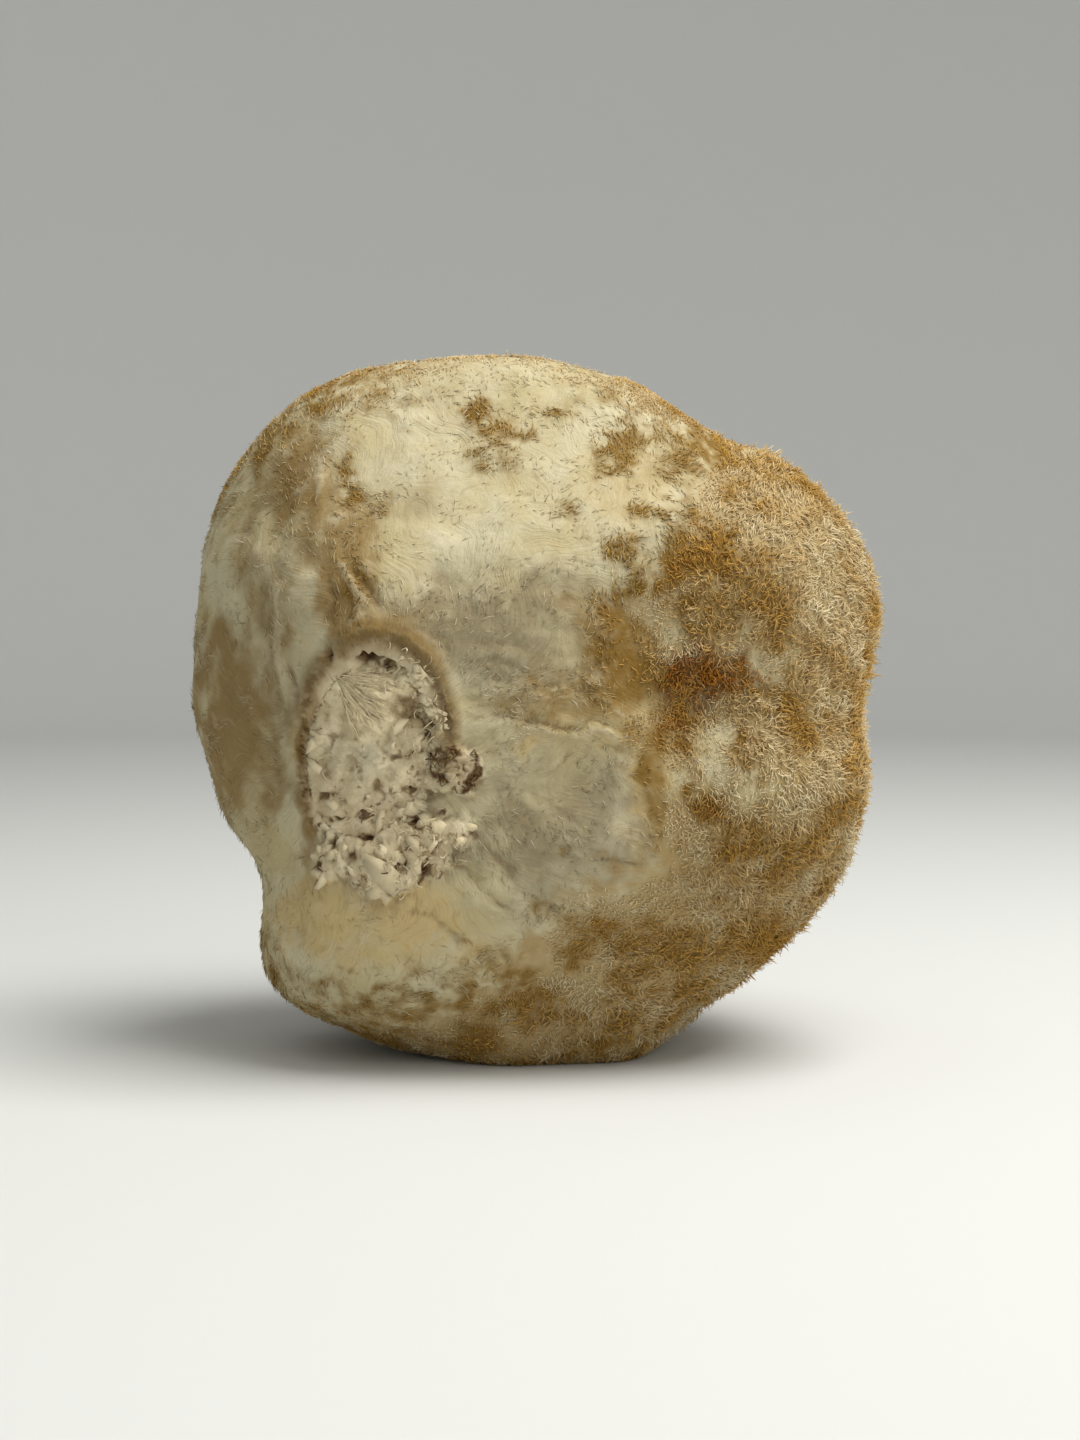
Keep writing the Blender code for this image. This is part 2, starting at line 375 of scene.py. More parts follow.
# Creases (below 0) and ridges (above 0) of the bare flesh: height, half width and places along, in mm
FOLDS = (
    (-0.42, 0.60, ((-12.1, 48), (-4.6, 50.5), (0.9, 50.1), (6.4, 48.5), (14.9, 48.2))),
    (0.20, 0.9, ((-11, 46.6), (-4.6, 48.6), (1.5, 48.2), (7, 46.8), (14, 46.2))),
    (-0.50, 0.55, ((-11.5, 44.9), (-4.6, 45.6), (2.2, 44.1), (9.1, 43.5), (14.9, 42.7))),
    (0.30, 0.6, ((-4, 44.4), (2, 43), (8, 42.4), (14, 41.3))),
    (-0.40, 0.4, ((-6, 47.5), (-0.5, 48.9), (5.7, 47.3), (13.2, 44.9))),
    (-0.50, 0.35, ((6.4, 25.1), (10.5, 25.5), (15.3, 24.6))),
    (-0.45, 0.35, ((7.6, 40.3), (9.4, 40.7), (11.5, 40.4))),
    (-0.45, 1.6, ((-19.7, 65.1), (-11.5, 64.1), (-4.6, 64.6), (2.2, 63.4), (7.7, 61.4))),
    (0.60, 0.55, ((-29.9, 81.6), (-30.5, 77.8), (-30.8, 74.2))),
    (0.75, 0.9, ((-28.4, 68.5), (-27.1, 65.5), (-25.5, 62.2), (-25.1, 58.6), (-26.2, 55.9))),
    (-0.70, 0.6, ((-27.1, 67.5), (-24.8, 64.1), (-22.4, 60.3))),
    (-0.50, 0.5, ((-30.5, 66), (-29, 61), (-29.5, 57))),
    (-0.50, 0.8, ((-10.8, 30.5), (-6, 25.7), (-0.5, 19.6), (4.3, 15.5))),
    (-0.50, 0.7, ((-14.2, 27.1), (-8.7, 22.3), (-3.2, 16.2))),
    (-0.40, 0.6, ((-18, 19.5), (-13, 16), (-10, 12))),
    (-0.30, 0.8, ((-8.7, 36), (-0.5, 34), (7.7, 29.2))),
    (0.60, 1, ((-38.8, 72.3), (-37.8, 64.1), (-36.4, 55.9), (-35.4, 47.7), (-34.6, 38.1))),
    (-0.55, 0.7, ((-36.1, 57.2), (-34.6, 51.8), (-33.7, 45.6))),
    (-0.40, 0.6, ((-11.5, 55.9), (-7.3, 54.8), (-2.5, 55.9))),
    (-0.40, 0.5, ((-8.7, 52.4), (-3.2, 51.8), (0.2, 50.9))),
    (-0.35, 0.5, ((-19.5, 57.5), (-14, 56), (-11, 52))),
)
CLEFT_LINE = ((-29.5, 53.5), (-31.7, 48), (-33, 42.2), (-32.9, 36.7), (-32, 31.2), (-30.6, 25.7))
CLEFT = (-0.7, 0.55, CLEFT_LINE)

# Pits and places of the scar: across, up, half width, half height, and depth or strength, in mm
PITS = (
    (-23.8, 53.7, 1.7, 0.7, 2.2), (-20.9, 52.3, 0.5, 0.9, 1.6), (-29.4, 54, 0.5, 1, 1.2),
    (-18.2, 46.6, 1.9, 1.7, 0.5), (-16, 24.2, 0.7, 0.9, 1.5), (-19.1, 25.4, 0.6, 1.2, 1.3),
    (-16.9, 30.3, 0.8, 0.9, 1.2), (-14.8, 44.5, 0.6, 0.5, 1.2), (-19.5, 40, 1, 0.5, 0.6),
    (-27.6, 31.5, 1.1, 0.4, 1.2), (-29.4, 34.6, 0.9, 0.4, 1.1), (-23.5, 28.2, 0.9, 0.8, 1.3),
    (-28, 27.5, 0.4, 1.5, 1.1), (-22.3, 36, 0.6, 1, 0.5), (-17.5, 35.5, 0.9, 0.5, 0.8),
    (-15.8, 43, 0.6, 0.4, 1), (-10, 29, 1, 0.5, 0.9),
)
TORN_BELOW = (
    (-21, 24, 5.5, 3.6, 1), (-16, 27, 4.5, 4.5, 1), (-12, 29.5, 3, 2.8, 0.8), (-12, 38, 4.2, 3.4, 1),
    (-28.5, 25, 3, 3, 0.8),
)
SCAR_FILL = 0.9
SCAR_DEEPEST = (
    (-21, 53, 5, 2, 1), (-17.5, 47, 2.6, 2.6, 1),
)
CRUMBS = (
    (-15.8, 46, 3, 5.5, 1), (-18.5, 51.6, 4, 1.8, 1), (-31.2, 40, 1.7, 6.5, 1), (-26, 30.5, 5, 3, 0.8),
    (-16.5, 27.5, 6, 5, 1), (-22, 23.5, 5, 3, 0.9), (-11.6, 38, 3.4, 3, 1),
)
SOFT_MIDDLE = ((-26.6, 41.5, 5.4, 7.5, 1.0),)

# The small dark knot beside the scar: its middle, radius and lines, and its curls per mm of line
KNOT = (-11.7, 37.9)
KNOT_RADIUS = 2.6
KNOT_LINES = (
    ((-14.9, 40), (-13.2, 40.5), (-11.4, 40.2)),
    ((-13.9, 39.2), (-11.9, 39.3)),
    ((-14.6, 40), (-14.5, 38.4), (-13.9, 36.6)),
    ((-13.1, 39.2), (-13.7, 37.6), (-13.3, 36.2)),
    ((-11.9, 35.9), (-11, 35.2), (-9.9, 35.6), (-9.3, 37.1), (-8.5, 38.4), (-8.8, 39.9)),
    ((-10.4, 36.4), (-9, 37.6)),
)
KNOT_CURLS = 2.2

# The point and the reach of the fan of fibres, and the box that the torn flesh lies in, in mm
FAN_APEX = (-28.6, 51.0)
FAN_REACH = 11.5
TORN_ACROSS = (-37, -6)
TORN_UP = (17, 58)


def on_plane(across, up):
    """The places as rows of three, for the noise."""
    return np.stack([across, up, np.zeros(len(across))], axis=1)


def from_line(across, up, line):
    """How far each place is from a line, and how far along the line the nearest point is, 0 to 1."""
    line = np.array(line)
    steps = np.linalg.norm(np.diff(line, axis=0), axis=1)
    starts = np.concatenate([[0], np.cumsum(steps)])
    best = np.full(len(across), 1e9)
    along = np.zeros(len(across))
    for start, end, step, done in zip(line[:-1], line[1:], steps, starts):
        way = (end - start) / step
        x, y = across - start[0], up - start[1]
        t = np.clip(x * way[0] + y * way[1], 0, step)
        far = np.hypot(x - t * way[0], y - t * way[1])
        nearer = far < best
        best[nearer] = far[nearer]
        along[nearer] = (done + t[nearer]) / starts[-1]
    return best, along


def shaken(across, up, size, amount, seed):
    """The places, moved by noise with features of that size, in mm."""
    flat = on_plane(across / size, up / size)
    return across + amount * ripple(flat, seed), up + amount * ripple(flat, seed + 1)


def folds(across, up):
    """How far the creases and ridges raise each place, in mm."""
    x, y = shaken(across, up, 5, 0.9, 41)
    x, y = shaken(x, y, 1.3, 0.25, 43)
    total = np.zeros(len(across))
    for height, width, line in (*FOLDS, CLEFT):
        far, along = from_line(x, y, line)
        ends = smooth_step(along / 0.25) * smooth_step((1 - along) / 0.25)
        total += height * (0.25 + 0.75 * ends) * hill(far, width)
    return total


def plates(x, y, seed):
    """Heights, from about -1 to 1, of tilted flakes about 1 across, and the distance from a flake's edge."""
    column, row = np.floor(x).astype(np.int64), np.floor(y).astype(np.int64)
    nearest = np.full(len(x), 9.0)
    second = nearest.copy()
    height = np.zeros(len(x))
    for i in (-1, 0, 1):
        for j in (-1, 0, 1):
            cell = np.stack([column + i, row + j, np.zeros_like(row)], axis=1)
            a, b, level = unpacked(scatter(cell, seed), (0, 10, 20))
            tilt_x, tilt_y = unpacked(scatter(cell, seed + 7), (0, 10))
            off_x, off_y = x - column - i - a, y - row - j - b
            far = np.hypot(off_x, off_y)
            nearer = far < nearest
            second = np.where(nearer, nearest, np.minimum(second, far))
            nearest = np.where(nearer, far, nearest)
            slope = (2 * tilt_x - 1) * off_x + (2 * tilt_y - 1) * off_y
            height = np.where(nearer, 2 * level - 1 + 1.3 * slope, height)
    return height, second - nearest


def crumbs(across, up):
    """Heights of the crumbs of torn flesh, and how far each place is from a crumb's edge."""
    x, y = shaken(across, up, 1.5, 0.35, 62)
    x, y = shaken(x, y, 0.5, 0.08, 64)
    return plates(x / 1.55, y / 1.55, 21)


def cracks(across, up):
    """Where thin winding cracks run, 0 to 1."""
    flat = on_plane(*shaken(across, up, 1.2, 0.35, 47))
    return hill(ripple(flat / 2.9, 66), 0.09) * smooth_step(0.2 + 1.5 * ripple(flat / 4, 67))


def upper_right(turn):
    """1 along the upper and right part of the scar's edge, and 0 along the rest."""
    return smooth_step(0.4 + np.sin(turn) + 0.5 * np.cos(turn))


def lip_side(turn, across, up):
    """1 along the lip's part of the scar's edge, down to the knot, and 0 along the rest of it."""
    return upper_right(turn) * (1 - np.clip(1.5 * blots(across, up, TORN_BELOW), 0, 1))


def lip_foot(far):
    """How much torn flesh it takes to reach the lip's foot from the form below, in mm."""
    hollow = SCAR_DEPTH * smooth_step((SCAR_EDGE - far) / SCAR_SLOPE)
    lip = LIP_HEIGHT * hill(far - LIP_PLACE, LIP_WIDTH)
    return np.clip(1.0 + (hollow - lip) / MM, 0, 1.5)


def torn_share(across, up, far):
    """How torn the flesh is, 0 to 1: in the scar, and where it crumbled below and beside it."""
    flat = on_plane(across, up)
    wobble = 0.06 * ripple(flat / 2.5, 51) + 0.04 * ripple(flat / 0.9, 52)
    lip = upper_right(np.arctan2(up - SCAR_MIDDLE[1] / MM, across - SCAR_MIDDLE[0] / MM))
    edge = 0.99 + 0.06 * lip + wobble * (1 - 0.7 * lip)
    inside = smooth_step((edge - far) / (0.06 - 0.025 * lip))
    x, y = shaken(across, up, 1.6, 0.7, 67)
    return np.maximum(inside, smooth_step(2.2 * blots(x, y, TORN_BELOW) - 0.5))


def fan_share(across, up):
    """How far each place is in the fan of fibres, 0 to 1, its distance from the fan's point and its angle."""
    x, y = across - FAN_APEX[0], up - FAN_APEX[1]
    reach, way = np.hypot(x, y), np.arctan2(y, x)
    share = smooth_step((FAN_REACH - reach + 1.2 * ripple(on_plane(across, up) / 1.5, 58)) / 2)
    return share * smooth_step((way + 1.3) / 0.4) * smooth_step((0.12 - way) / 0.25), reach, way


def torn_relief(across, up, flat):
    """The relief of the torn flesh: broken and cracked, with puffy crumbs in places, in mm."""
    x, y = shaken(across, up, 1.8, 0.45, 53)
    bent = on_plane(x, y)
    torn = 0.3 * ripple(flat / 4, 56) - 0.5 * cracks(across, up)
    for size, height in ((2.6, 0.40), (1.3, 0.28), (0.6, 0.16)):
        torn += height * (0.45 - np.abs(ripple(bent / size, 55)))
    level, edge = crumbs(across, up)
    puffy = 0.34 * level + 0.45 * np.sqrt(np.clip(edge, 0, 0.5)) - 0.25
    puffy += 0.30 * (0.45 - np.abs(ripple(bent / 1.1, 50))) + 0.10 * ripple(bent / 0.5, 54)
    return torn + np.clip(blots(x, y, CRUMBS), 0, 1) * (puffy - torn)


def scar_relief(across, up, far, turn):
    """How far the fine relief of the scar stands out at each place, in mm."""
    flat = on_plane(across, up)
    fan, reach, way = fan_share(across, up)
    spoke = np.stack([way * 6 + 0.35 * ripple(flat / 2, 57), reach / 7, np.zeros(len(way))], axis=1)
    fibres = 0.45 * ripple(spoke, 59) + 0.16 * ripple(spoke * 2.3, 60)
    fibres = 0.5 - 0.06 * reach + fibres * np.clip(reach / 4, 0.2, 1)
    soft = blots(across, up, SOFT_MIDDLE)
    strings = on_plane((across - 0.25 * up) / 0.5, up / 4) + 0.4 * ripple(flat / 2.2, 68)[:, None]
    calm = 0.22 * ripple(strings, 69) + 0.35 * ripple(flat / 3, 70)
    relief = torn_relief(across, up, flat) * (1 - soft) + calm * soft
    relief += fan * (fibres - relief)
    beside_lip = smooth_step((far - 0.86) / 0.10) * lip_side(turn, across, up)
    fill = SCAR_FILL * (1 - 0.8 * blots(across, up, SCAR_DEEPEST))
    relief = relief * (1 - 0.8 * beside_lip) + fill + beside_lip * (lip_foot(far) - fill)
    relief *= torn_share(across, up, far)
    rings = ripple(on_plane(far * 20 + 0.8 * ripple(flat / 3, 63), turn * 1.6), 65)
    relief += 0.20 * rings * hill(far - 1.14, 0.10) * smooth_step(0.6 + np.sin(turn))
    relief -= mounds(*shaken(across, up, 0.9, 0.35, 61), PITS)
    return relief + 0.7 * smooth_step((-np.sin(turn) - 0.2) / 0.5) * hill(far - 0.95, 0.28)


def skin_relief(points, across, up):
    """How far the fine relief of the stem side stands out at each point, in mm."""
    bare = smooth_step(-past_bare(points) / (4 * MM) + 0.8)
    places = points / MM
    swell = 0.30 * ripple(places / 7, 71) + 0.09 * ripple(places / 3, 72) + 0.035 * ripple(places / 1.2, 73)
    reach, grain = grain_at(across, up, places)
    fibres = 0.06 * ripple(grain * 0.55, 75) + 0.06 * ripple(grain * 1.3, 76)
    return bare * (swell + fibres * smooth_step((reach - 6) / 8) + 0.65 * folds(across, up))


def grain_at(across, up, places):
    """Each place's distance from the scar, and its place in the grain of fibres that run from the scar."""
    x, y = across - SCAR_MIDDLE[0] / MM, up - SCAR_MIDDLE[1] / MM
    reach = np.hypot(x, y)
    bent = np.arctan2(y, x) + 0.22 * ripple(places / 14, 77) + 0.05 * ripple(places / 4, 78)
    return reach, np.stack([np.cos(bent) * 26, np.sin(bent) * 26, reach / 6], axis=1)


def averaged(values, triangles, rounds):
    """The values after each point has taken its neighbours' mean that many times."""
    ends, others = triangles.ravel(), triangles[:, [1, 2, 0]].ravel()
    count = np.bincount(ends, minlength=len(values))
    for _ in range(rounds):
        values = np.bincount(ends, values[others], len(values)) / count
    return values


def make_mesh(name, points, triangles):
    """A mesh piece from points and triangles, smooth shaded."""
    mesh = bpy.data.meshes.new(name)
    mesh.vertices.add(len(points))
    mesh.vertices.foreach_set("co", points.astype(np.float32).ravel())
    mesh.loops.add(triangles.size)
    mesh.loops.foreach_set("vertex_index", triangles.astype(np.int32).ravel())
    mesh.polygons.add(len(triangles))
    mesh.polygons.foreach_set("loop_start", np.arange(0, triangles.size, 3, dtype=np.int32))
    mesh.polygons.foreach_set("loop_total", np.full(len(triangles), 3, dtype=np.int32))
    mesh.update(calc_edges=True)
    mesh.polygons.foreach_set("use_smooth", np.ones(len(triangles), dtype=bool))
    made = bpy.data.objects.new(name, mesh)
    bpy.context.scene.collection.objects.link(made)
    return made


def repeated(faces, count, corners):
    """The same faces for each of that many shapes, which have that many corners each."""
    starts = np.arange(count)[:, None, None] * corners
    return (np.array(faces)[None] + starts).reshape(-1, 3)


def set_masks(made, masks, times=1):
    """Stores numbers, or rows of three, for a piece's material to read, each for that many points."""
    for name, values in masks.items():
        values = np.repeat(values, times, axis=0)
        kind, field = ("FLOAT", "value") if values.ndim == 1 else ("FLOAT_VECTOR", "vector")
        mask = made.data.attributes.new(name, kind, "POINT")
        mask.data.foreach_set(field, values.astype(np.float32).ravel())


# Stains of the stem side, the grey and warm ones partly painted shade, as across, up, half width, half height
# and strength, in mm
BROWN = (
    (-7.7, 86, 3.3, 3.2, 0.95), (-3.2, 83.3, 3.6, 1.4, 0.75), (-8.7, 81.5, 2.2, 2.6, 0.6),
    (-4, 80, 3.5, 2.5, 0.35), (1.6, 87, 3, 0.9, 0.75), (13.2, 83.6, 4.6, 2.4, 0.95),
    (9.8, 80.5, 2.8, 2.1, 0.85), (15.9, 73.7, 4.2, 1.8, 0.8), (22.8, 81.9, 7, 4, 0.75),
    (3.6, 74, 3, 1.2, 0.4), (7, 70.3, 1.4, 0.6, 0.4), (-29.9, 88.7, 4.2, 2, 0.7),
    (-36.8, 82.6, 2.7, 4, 0.6), (-26.5, 77.8, 2.4, 4.2, 0.65), (-34, 76, 3, 4, 0.4),
    (-26.5, 85.3, 1.7, 2.2, 0.5), (-22.5, 74, 2.2, 2.2, 0.35), (21.4, 67.5, 6.5, 3.8, 1.1),
    (15.9, 64.1, 4.6, 2.4, 0.9), (10.5, 60.7, 3.2, 2.8, 0.85), (10.5, 55, 4.6, 6, 0.75),
    (15.6, 36, 1.6, 8, 0.6), (13.5, 51, 5, 3.4, 0.8), (11.5, 68.5, 3, 3, 0.6), (24, 60, 4.5, 4.5, 0.75),
    (33, 60, 3, 8, 0.45), (18.7, 49.7, 3.5, 2.5, 0.95), (20, 45.6, 4.8, 2.4, 0.85),
    (18, 41.5, 2.2, 3, 0.7), (22.8, 32.9, 2.7, 2, 0.95), (31.7, 27.1, 6.5, 2, 0.95),
    (25.5, 26.1, 2.8, 1.4, 0.8), (33.1, 47.7, 4.2, 2.8, 0.75), (36.5, 43.5, 4.2, 3.4, 0.75),
    (29, 42.5, 2.6, 4, 0.6), (9.1, 15.5, 4.6, 2.1, 0.7), (17, 14.4, 8, 2.4, 0.6), (30, 14, 9, 3, 0.7),
    (-38.5, 15.2, 2.2, 1.3, 0.45), (-24, 57.3, 6, 1.8, 0.5), (-16.5, 54.8, 3, 2, 0.45),
    (-28.5, 58.5, 1.2, 2.4, 0.4), (-25.2, 60.5, 1.3, 2.8, 0.9), (-26.5, 65.5, 2.4, 5.5, 0.50),
)
RUST = (
    (23.5, 51.5, 5.5, 3.4, 1), (18, 48, 3.2, 2.2, 0.6), (19.5, 44.3, 2.6, 2.6, 0.5),
    (9, 61, 1.6, 2, 0.35), (21, 67, 3.5, 2.2, 0.35), (22.8, 32.9, 1.6, 1.2, 0.35),
)
# Warmer, darker places, partly a real warm tint and partly painted shadow, on the left flank and in the
# valley right of the middle
WARM_AND_SHADE = (
    (-26.5, 65.5, 5, 8.5, 1.8), (-36.5, 54, 4, 12, 0.6), (-18, 76, 5, 6, 0.35), (-31, 69, 5, 6, 0.7),
    (-34, 78.5, 6.5, 9, 1.1), (-20.5, 60, 3, 3, 0.6), (-35.4, 55.9, 1.4, 5, 0.7), (-24, 58.5, 9, 3, 0.65),
    (-37.5, 38, 2.2, 10, 0.9), (-35.5, 47, 1.5, 7, 0.5), (2.2, 47, 11, 3.6, 0.8), (10, 47, 5.5, 3.8, 0.8),
    (11.5, 53, 4.5, 9, 1.8), (8.5, 55, 6.5, 9, 0.9), (15.8, 36, 1.9, 9, 1), (-43, 46, 6, 14, 1.4),
    (-40, 66, 4, 10, 0.8), (-37, 62, 5, 9, 0.6), (-12, 87.5, 10, 3.5, 0.25), (14, 62, 6, 6, 0.5),
    (-32, 36, 1.2, 12, 1), (14, 80, 8, 8, 0.3), (4.5, 39.5, 3.5, 2.5, 0.35),
)
GOLDEN = (
    (-31, 17.5, 6.5, 5.5, 1.4), (-18, 17.5, 6, 5, 1.4), (-25, 13, 10, 3, 0.7), (-9, 13, 6, 3, 0.6),
    (6, 45.5, 10, 5, 0.5), (-3, 41, 6, 2.6, 0.5), (15.5, 36, 2.4, 9, 0.9), (10, 76, 10, 8, 0.35),
    (-30, 72, 5, 9, 0.6),
)
# Greyer places, partly a real grey tint and partly painted shade, most of all below the dome's shoulder and
# low on the front
GREY_AND_SHADE = (
    (-6, 57.5, 16, 8.5, 1.1), (4, 30, 17, 12, 0.85), (-2, 38, 12, 6, 0.6), (-36.5, 46, 4, 14, 0.6),
    (12.5, 60, 3, 3, 0.35), (-18, 58.5, 4.5, 3, 0.8), (-18, 76, 8, 6, 0.35), (3, 67, 8, 5, 0.30),
)
PALE = (
    (24.5, 39, 4, 6.5, 1.2), (33, 36, 6.5, 5, 1), (27, 36, 4, 5, 0.9), (19, 29, 6, 8, 0.7),
    (25, 20.5, 9, 4, 0.55), (33.5, 52, 4, 3, 0.6), (15, 60.5, 3, 3, 0.6), (27, 57, 3, 2.5, 0.55),
    (39, 64, 5, 9, 0.8), (40, 46, 4, 6, 0.6), (35, 20, 6, 4, 0.45), (18.5, 77, 5, 2.2, 0.7),
    (17, 34, 4.5, 12, 0.95), (11, 21, 8, 4.5, 0.9), (0, 14.5, 6, 2.5, 0.7), (-6, 92, 13, 4, 0.9),
)
# Pale places with thin fine spines, and smooth stains with neither spines nor felt
BALD = (
    (23.3, 40.5, 3.8, 6.5, 1), (20.5, 35.5, 3, 4.5, 0.8), (14.8, 58.8, 2.6, 2.6, 1),
    (18.5, 57, 3, 4, 0.7), (26.5, 58, 2.4, 5.5, 0.9), (32.5, 52, 4.2, 3.5, 0.9),
    (29.5, 36.5, 2.6, 5, 0.7), (-6, 92.5, 12, 3.5, 0.7),
)
SMOOTH = (
    (10.2, 54, 4.8, 7, 1.4), (12.5, 48, 5, 3.5, 1.3), (15.5, 36, 2.2, 8, 1.1),
)


# Browner places of the torn flesh
TAN = (
    (-22, 30.5, 7, 4, 0.7), (-18.3, 46.3, 2.8, 2.4, 1.4), (-11.6, 38, 3.2, 2.8, 0.8),
    (-19, 26, 8, 6, 0.75), (-22, 31, 3.5, 2.5, 0.8), (-17, 30.3, 1.4, 1.4, 1.1),
    (-23.5, 28.2, 1.5, 1.4, 1), (-30.5, 33, 2.5, 5, 0.6), (-31.5, 46, 1.4, 5, 0.6),
    (-14.5, 33, 3.5, 4, 0.5), (-23, 55, 6, 1.2, 0.7),
)


# Each kind of stain, grey and warm partly painted shade: its blots, its strength, and how much fine and
# coarse noise feather its edge
STAINS = {
    "brown": (BROWN, 1.25, 0.75, 0),
    "rust": (RUST, 1, 0.7, 0),
    "warm": (WARM_AND_SHADE, 0.9, 0, 0.4),
    "golden": (GOLDEN, 1, 0.4, 0),
    "grey": (GREY_AND_SHADE, 0.95, 0, 0.4),
    "bald": (BALD, 1, 0.8, 0),
    "smooth": (SMOOTH, 1, 0.3, 0),
}


def tones(points):
    """How strong each kind of stain, grey and warm partly painted shade, is at each point, and how pale,
    spiny and far behind it is, 0 to 1.
    """
    places = points / MM
    across, up = mm_seen(points)
    across = across + 1.2 * ripple(places / 4, 81) + 0.7 * ripple(places / 1.7, 82)
    up = up + 1.2 * ripple(places / 4, 83) + 0.7 * ripple(places / 1.7, 84)
    fine = layered(places / 2.6, 86, 4, 0.65)
    coarse = layered(places / 5.5, 90, 3, 0.6)
    front = shown(points)
    past = past_bare(points)
    marks = {}
    for name, (table, strength, by_fine, by_coarse) in STAINS.items():
        edge = strength + by_fine * fine + by_coarse * coarse
        marks[name] = smooth_step(blots(across, up, table) * front * edge)
    spiny = smooth_step(0.5 + past / (9 * MM) + 0.40 * fine)
    spiny *= 1 - 0.9 * np.maximum(marks["bald"], marks["smooth"])
    pale = blots(across, up, PALE) * front * (0.95 + 0.7 * fine)
    kept = 1 - 0.9 * smooth_step(1.4 * pale)
    fringe = smooth_step(1 - np.abs(past + 1.0 * MM) / (4.5 * MM)) * (0.35 + 0.5 * fine) * kept
    patches = smooth_step(0.40 + 0.8 * coarse + 0.5 * fine) * spiny * 0.9 * kept
    pale = np.maximum(pale, smooth_step(0.10 - 0.9 * coarse) * spiny * 0.75)
    marks["brown"] = np.clip(np.maximum(marks["brown"], np.maximum(fringe, patches)), 0, 1)
    marks["pale"] = np.clip(np.maximum(pale, 0.9 * marks["bald"]), 0, 1)
    marks["spiny"] = spiny
    marks["behind"] = (1 - front) * smooth_step(0.25 + past / (8 * MM) + 0.4 * fine)
    return marks


def dark_and_shaded_places(across, up, torn):
    """How dark each place of the scar is, 0 to 1: painted shade in its pits, cracks and between crumbs, the
    knot's own dark lines, and darker along the torn flesh's edge.
    """
    flat = on_plane(across, up)
    x, y = shaken(across, up, 2.2, 0.5, 45)
    dark = np.zeros(len(across))
    for line in KNOT_LINES:
        dark = np.maximum(dark, 0.75 * hill(from_line(x, y, line)[0], 0.35))
    dark += mounds(x, y, PITS, 1.3) / 1.5
    edges = hill(crumbs(across, up)[1], 0.06) * np.clip(blots(x, y, CRUMBS), 0, 1)
    lines = (0.75 * edges + 0.5 * cracks(across, up)) * torn + 0.9 * (4 * torn * (1 - torn)) ** 2
    return np.clip(dark + lines * smooth_step(0.35 + 1.1 * ripple(flat / 1.8, 46)), 0, 1)


def scar_masks(across, up, far, turn, front):
    """Where the flesh is torn, tan, fibrous, soft or dark, the dark partly painted shade, and where its lip
    and cleft are, 0 to 1.
    """
    flat = on_plane(across, up)
    masks = {
        "torn": torn_share(across, up, far),
        "tan": np.clip(blots(*shaken(across, up, 2.0, 0.6, 49), TAN), 0, 1),
        "fan": fan_share(across, up)[0],
        "soft": blots(across, up, SOFT_MIDDLE),
    }
    upper = smooth_step(0.75 + np.sin(turn) + 0.45 * np.cos(turn))
    upper *= np.where(np.cos(turn) > 0, smooth_step(0.5 + 4 * np.sin(turn)), 1)
    band = np.exp(-(np.abs((far - LIP_PLACE) / LIP_WIDTH) ** 3))
    masks["lip"] = upper * band * (0.85 + 0.25 * ripple(flat / 2, 48))
    masks["dark"] = dark_and_shaded_places(across, up, masks["torn"] * front)
    groove, along = from_line(*shaken(across, up, 2.2, 0.5, 45), CLEFT_LINE)
    masks["cleft"] = hill(groove, 0.8) * smooth_step(along / 0.3) * smooth_step((1 - along) / 0.1)
    return {name: values * front for name, values in masks.items()}


def skin():
    """The flesh: the whole mushroom without its spines, as one closed mesh."""
    directions = skin_directions()
    triangles = hull(directions)
    points = form(directions)
    outward = normals_of(points, triangles)
    across, up = mm_seen(points)
    far, turn = scar_place(points)
    front = facing(points)
    lift = skin_relief(points, across, up) + scar_relief(across, up, far, turn)
    lift *= front * smooth_step(points[:, 2] / CALM_FOOT)
    points = points + outward * (lift * MM)[:, None]
    points[:, 2] = np.maximum(points[:, 2], 0)
    made = make_mesh("flesh_skin", points, triangles)
    fine = averaged(lift, triangles, 4) - lift
    broad = averaged(lift, triangles, 30) - lift
    masks = tones(points) | scar_masks(across, up, far, turn, front)
    # How hollow the relief is: drives painted shade in its creases and a painted highlight on its ridges
    masks["hollow"] = (1.6 * fine + 0.7 * broad) * (1 - 0.4 * fan_share(across, up)[0])
    masks["grain"] = grain_at(across, up, points / MM)[1]
    set_masks(made, masks)
    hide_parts("mushroom")
    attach(made, "root")
    return made


# Strands: every hair, spine and fibre is a closed three-sided tapered tube along a path
PIECE_TRIANGLES = 190000
ROOT_DEPTH = 0.25 * MM
LOWEST_ROOT = 0.05 * MM
LOWEST_FELT = 0.5 * MM
SKIN_CLEARANCE = 0.10 * MM


def tubes(paths, widths, taper):
    """Points and triangles of three-sided tubes along paths, closed at the root and pointed at the tip."""
    count, rows = paths.shape[:2]
    parts = rows - 1
    steps = np.diff(paths, axis=1)
    along = unit(steps[:, 0])
    level = np.where(np.abs(along[:, 2:]) < 0.8, [[0.0, 0.0, 1.0]], [[1.0, 0.0, 0.0]])
    side = unit(np.cross(along, level))
    corners = []
    for part in range(parts):
        if part:
            along = unit(unit(steps[:, part - 1]) + unit(steps[:, part]))
            side = level_on(side, along)
        other = np.cross(along, side)
        radius = (widths * 0.5 * (1 - taper * part / parts))[:, None]
        for corner in range(3):
            turn = corner / 3 * math.tau
            corners.append(paths[:, part] + radius * (math.cos(turn) * side + math.sin(turn) * other))
    points = np.stack([*corners, paths[:, -1]], axis=1)
    faces = [(0, 2, 1)]
    for part in range(parts):
        for corner in range(3):
            a, b = part * 3 + corner, part * 3 + (corner + 1) % 3
            if part < parts - 1:
                faces += [(a, b, b + 3), (a, b + 3, a + 3)]
            else:
                faces.append((a, b, parts * 3))
    return points.reshape(-1, 3), repeated(faces, count, parts * 3 + 1)


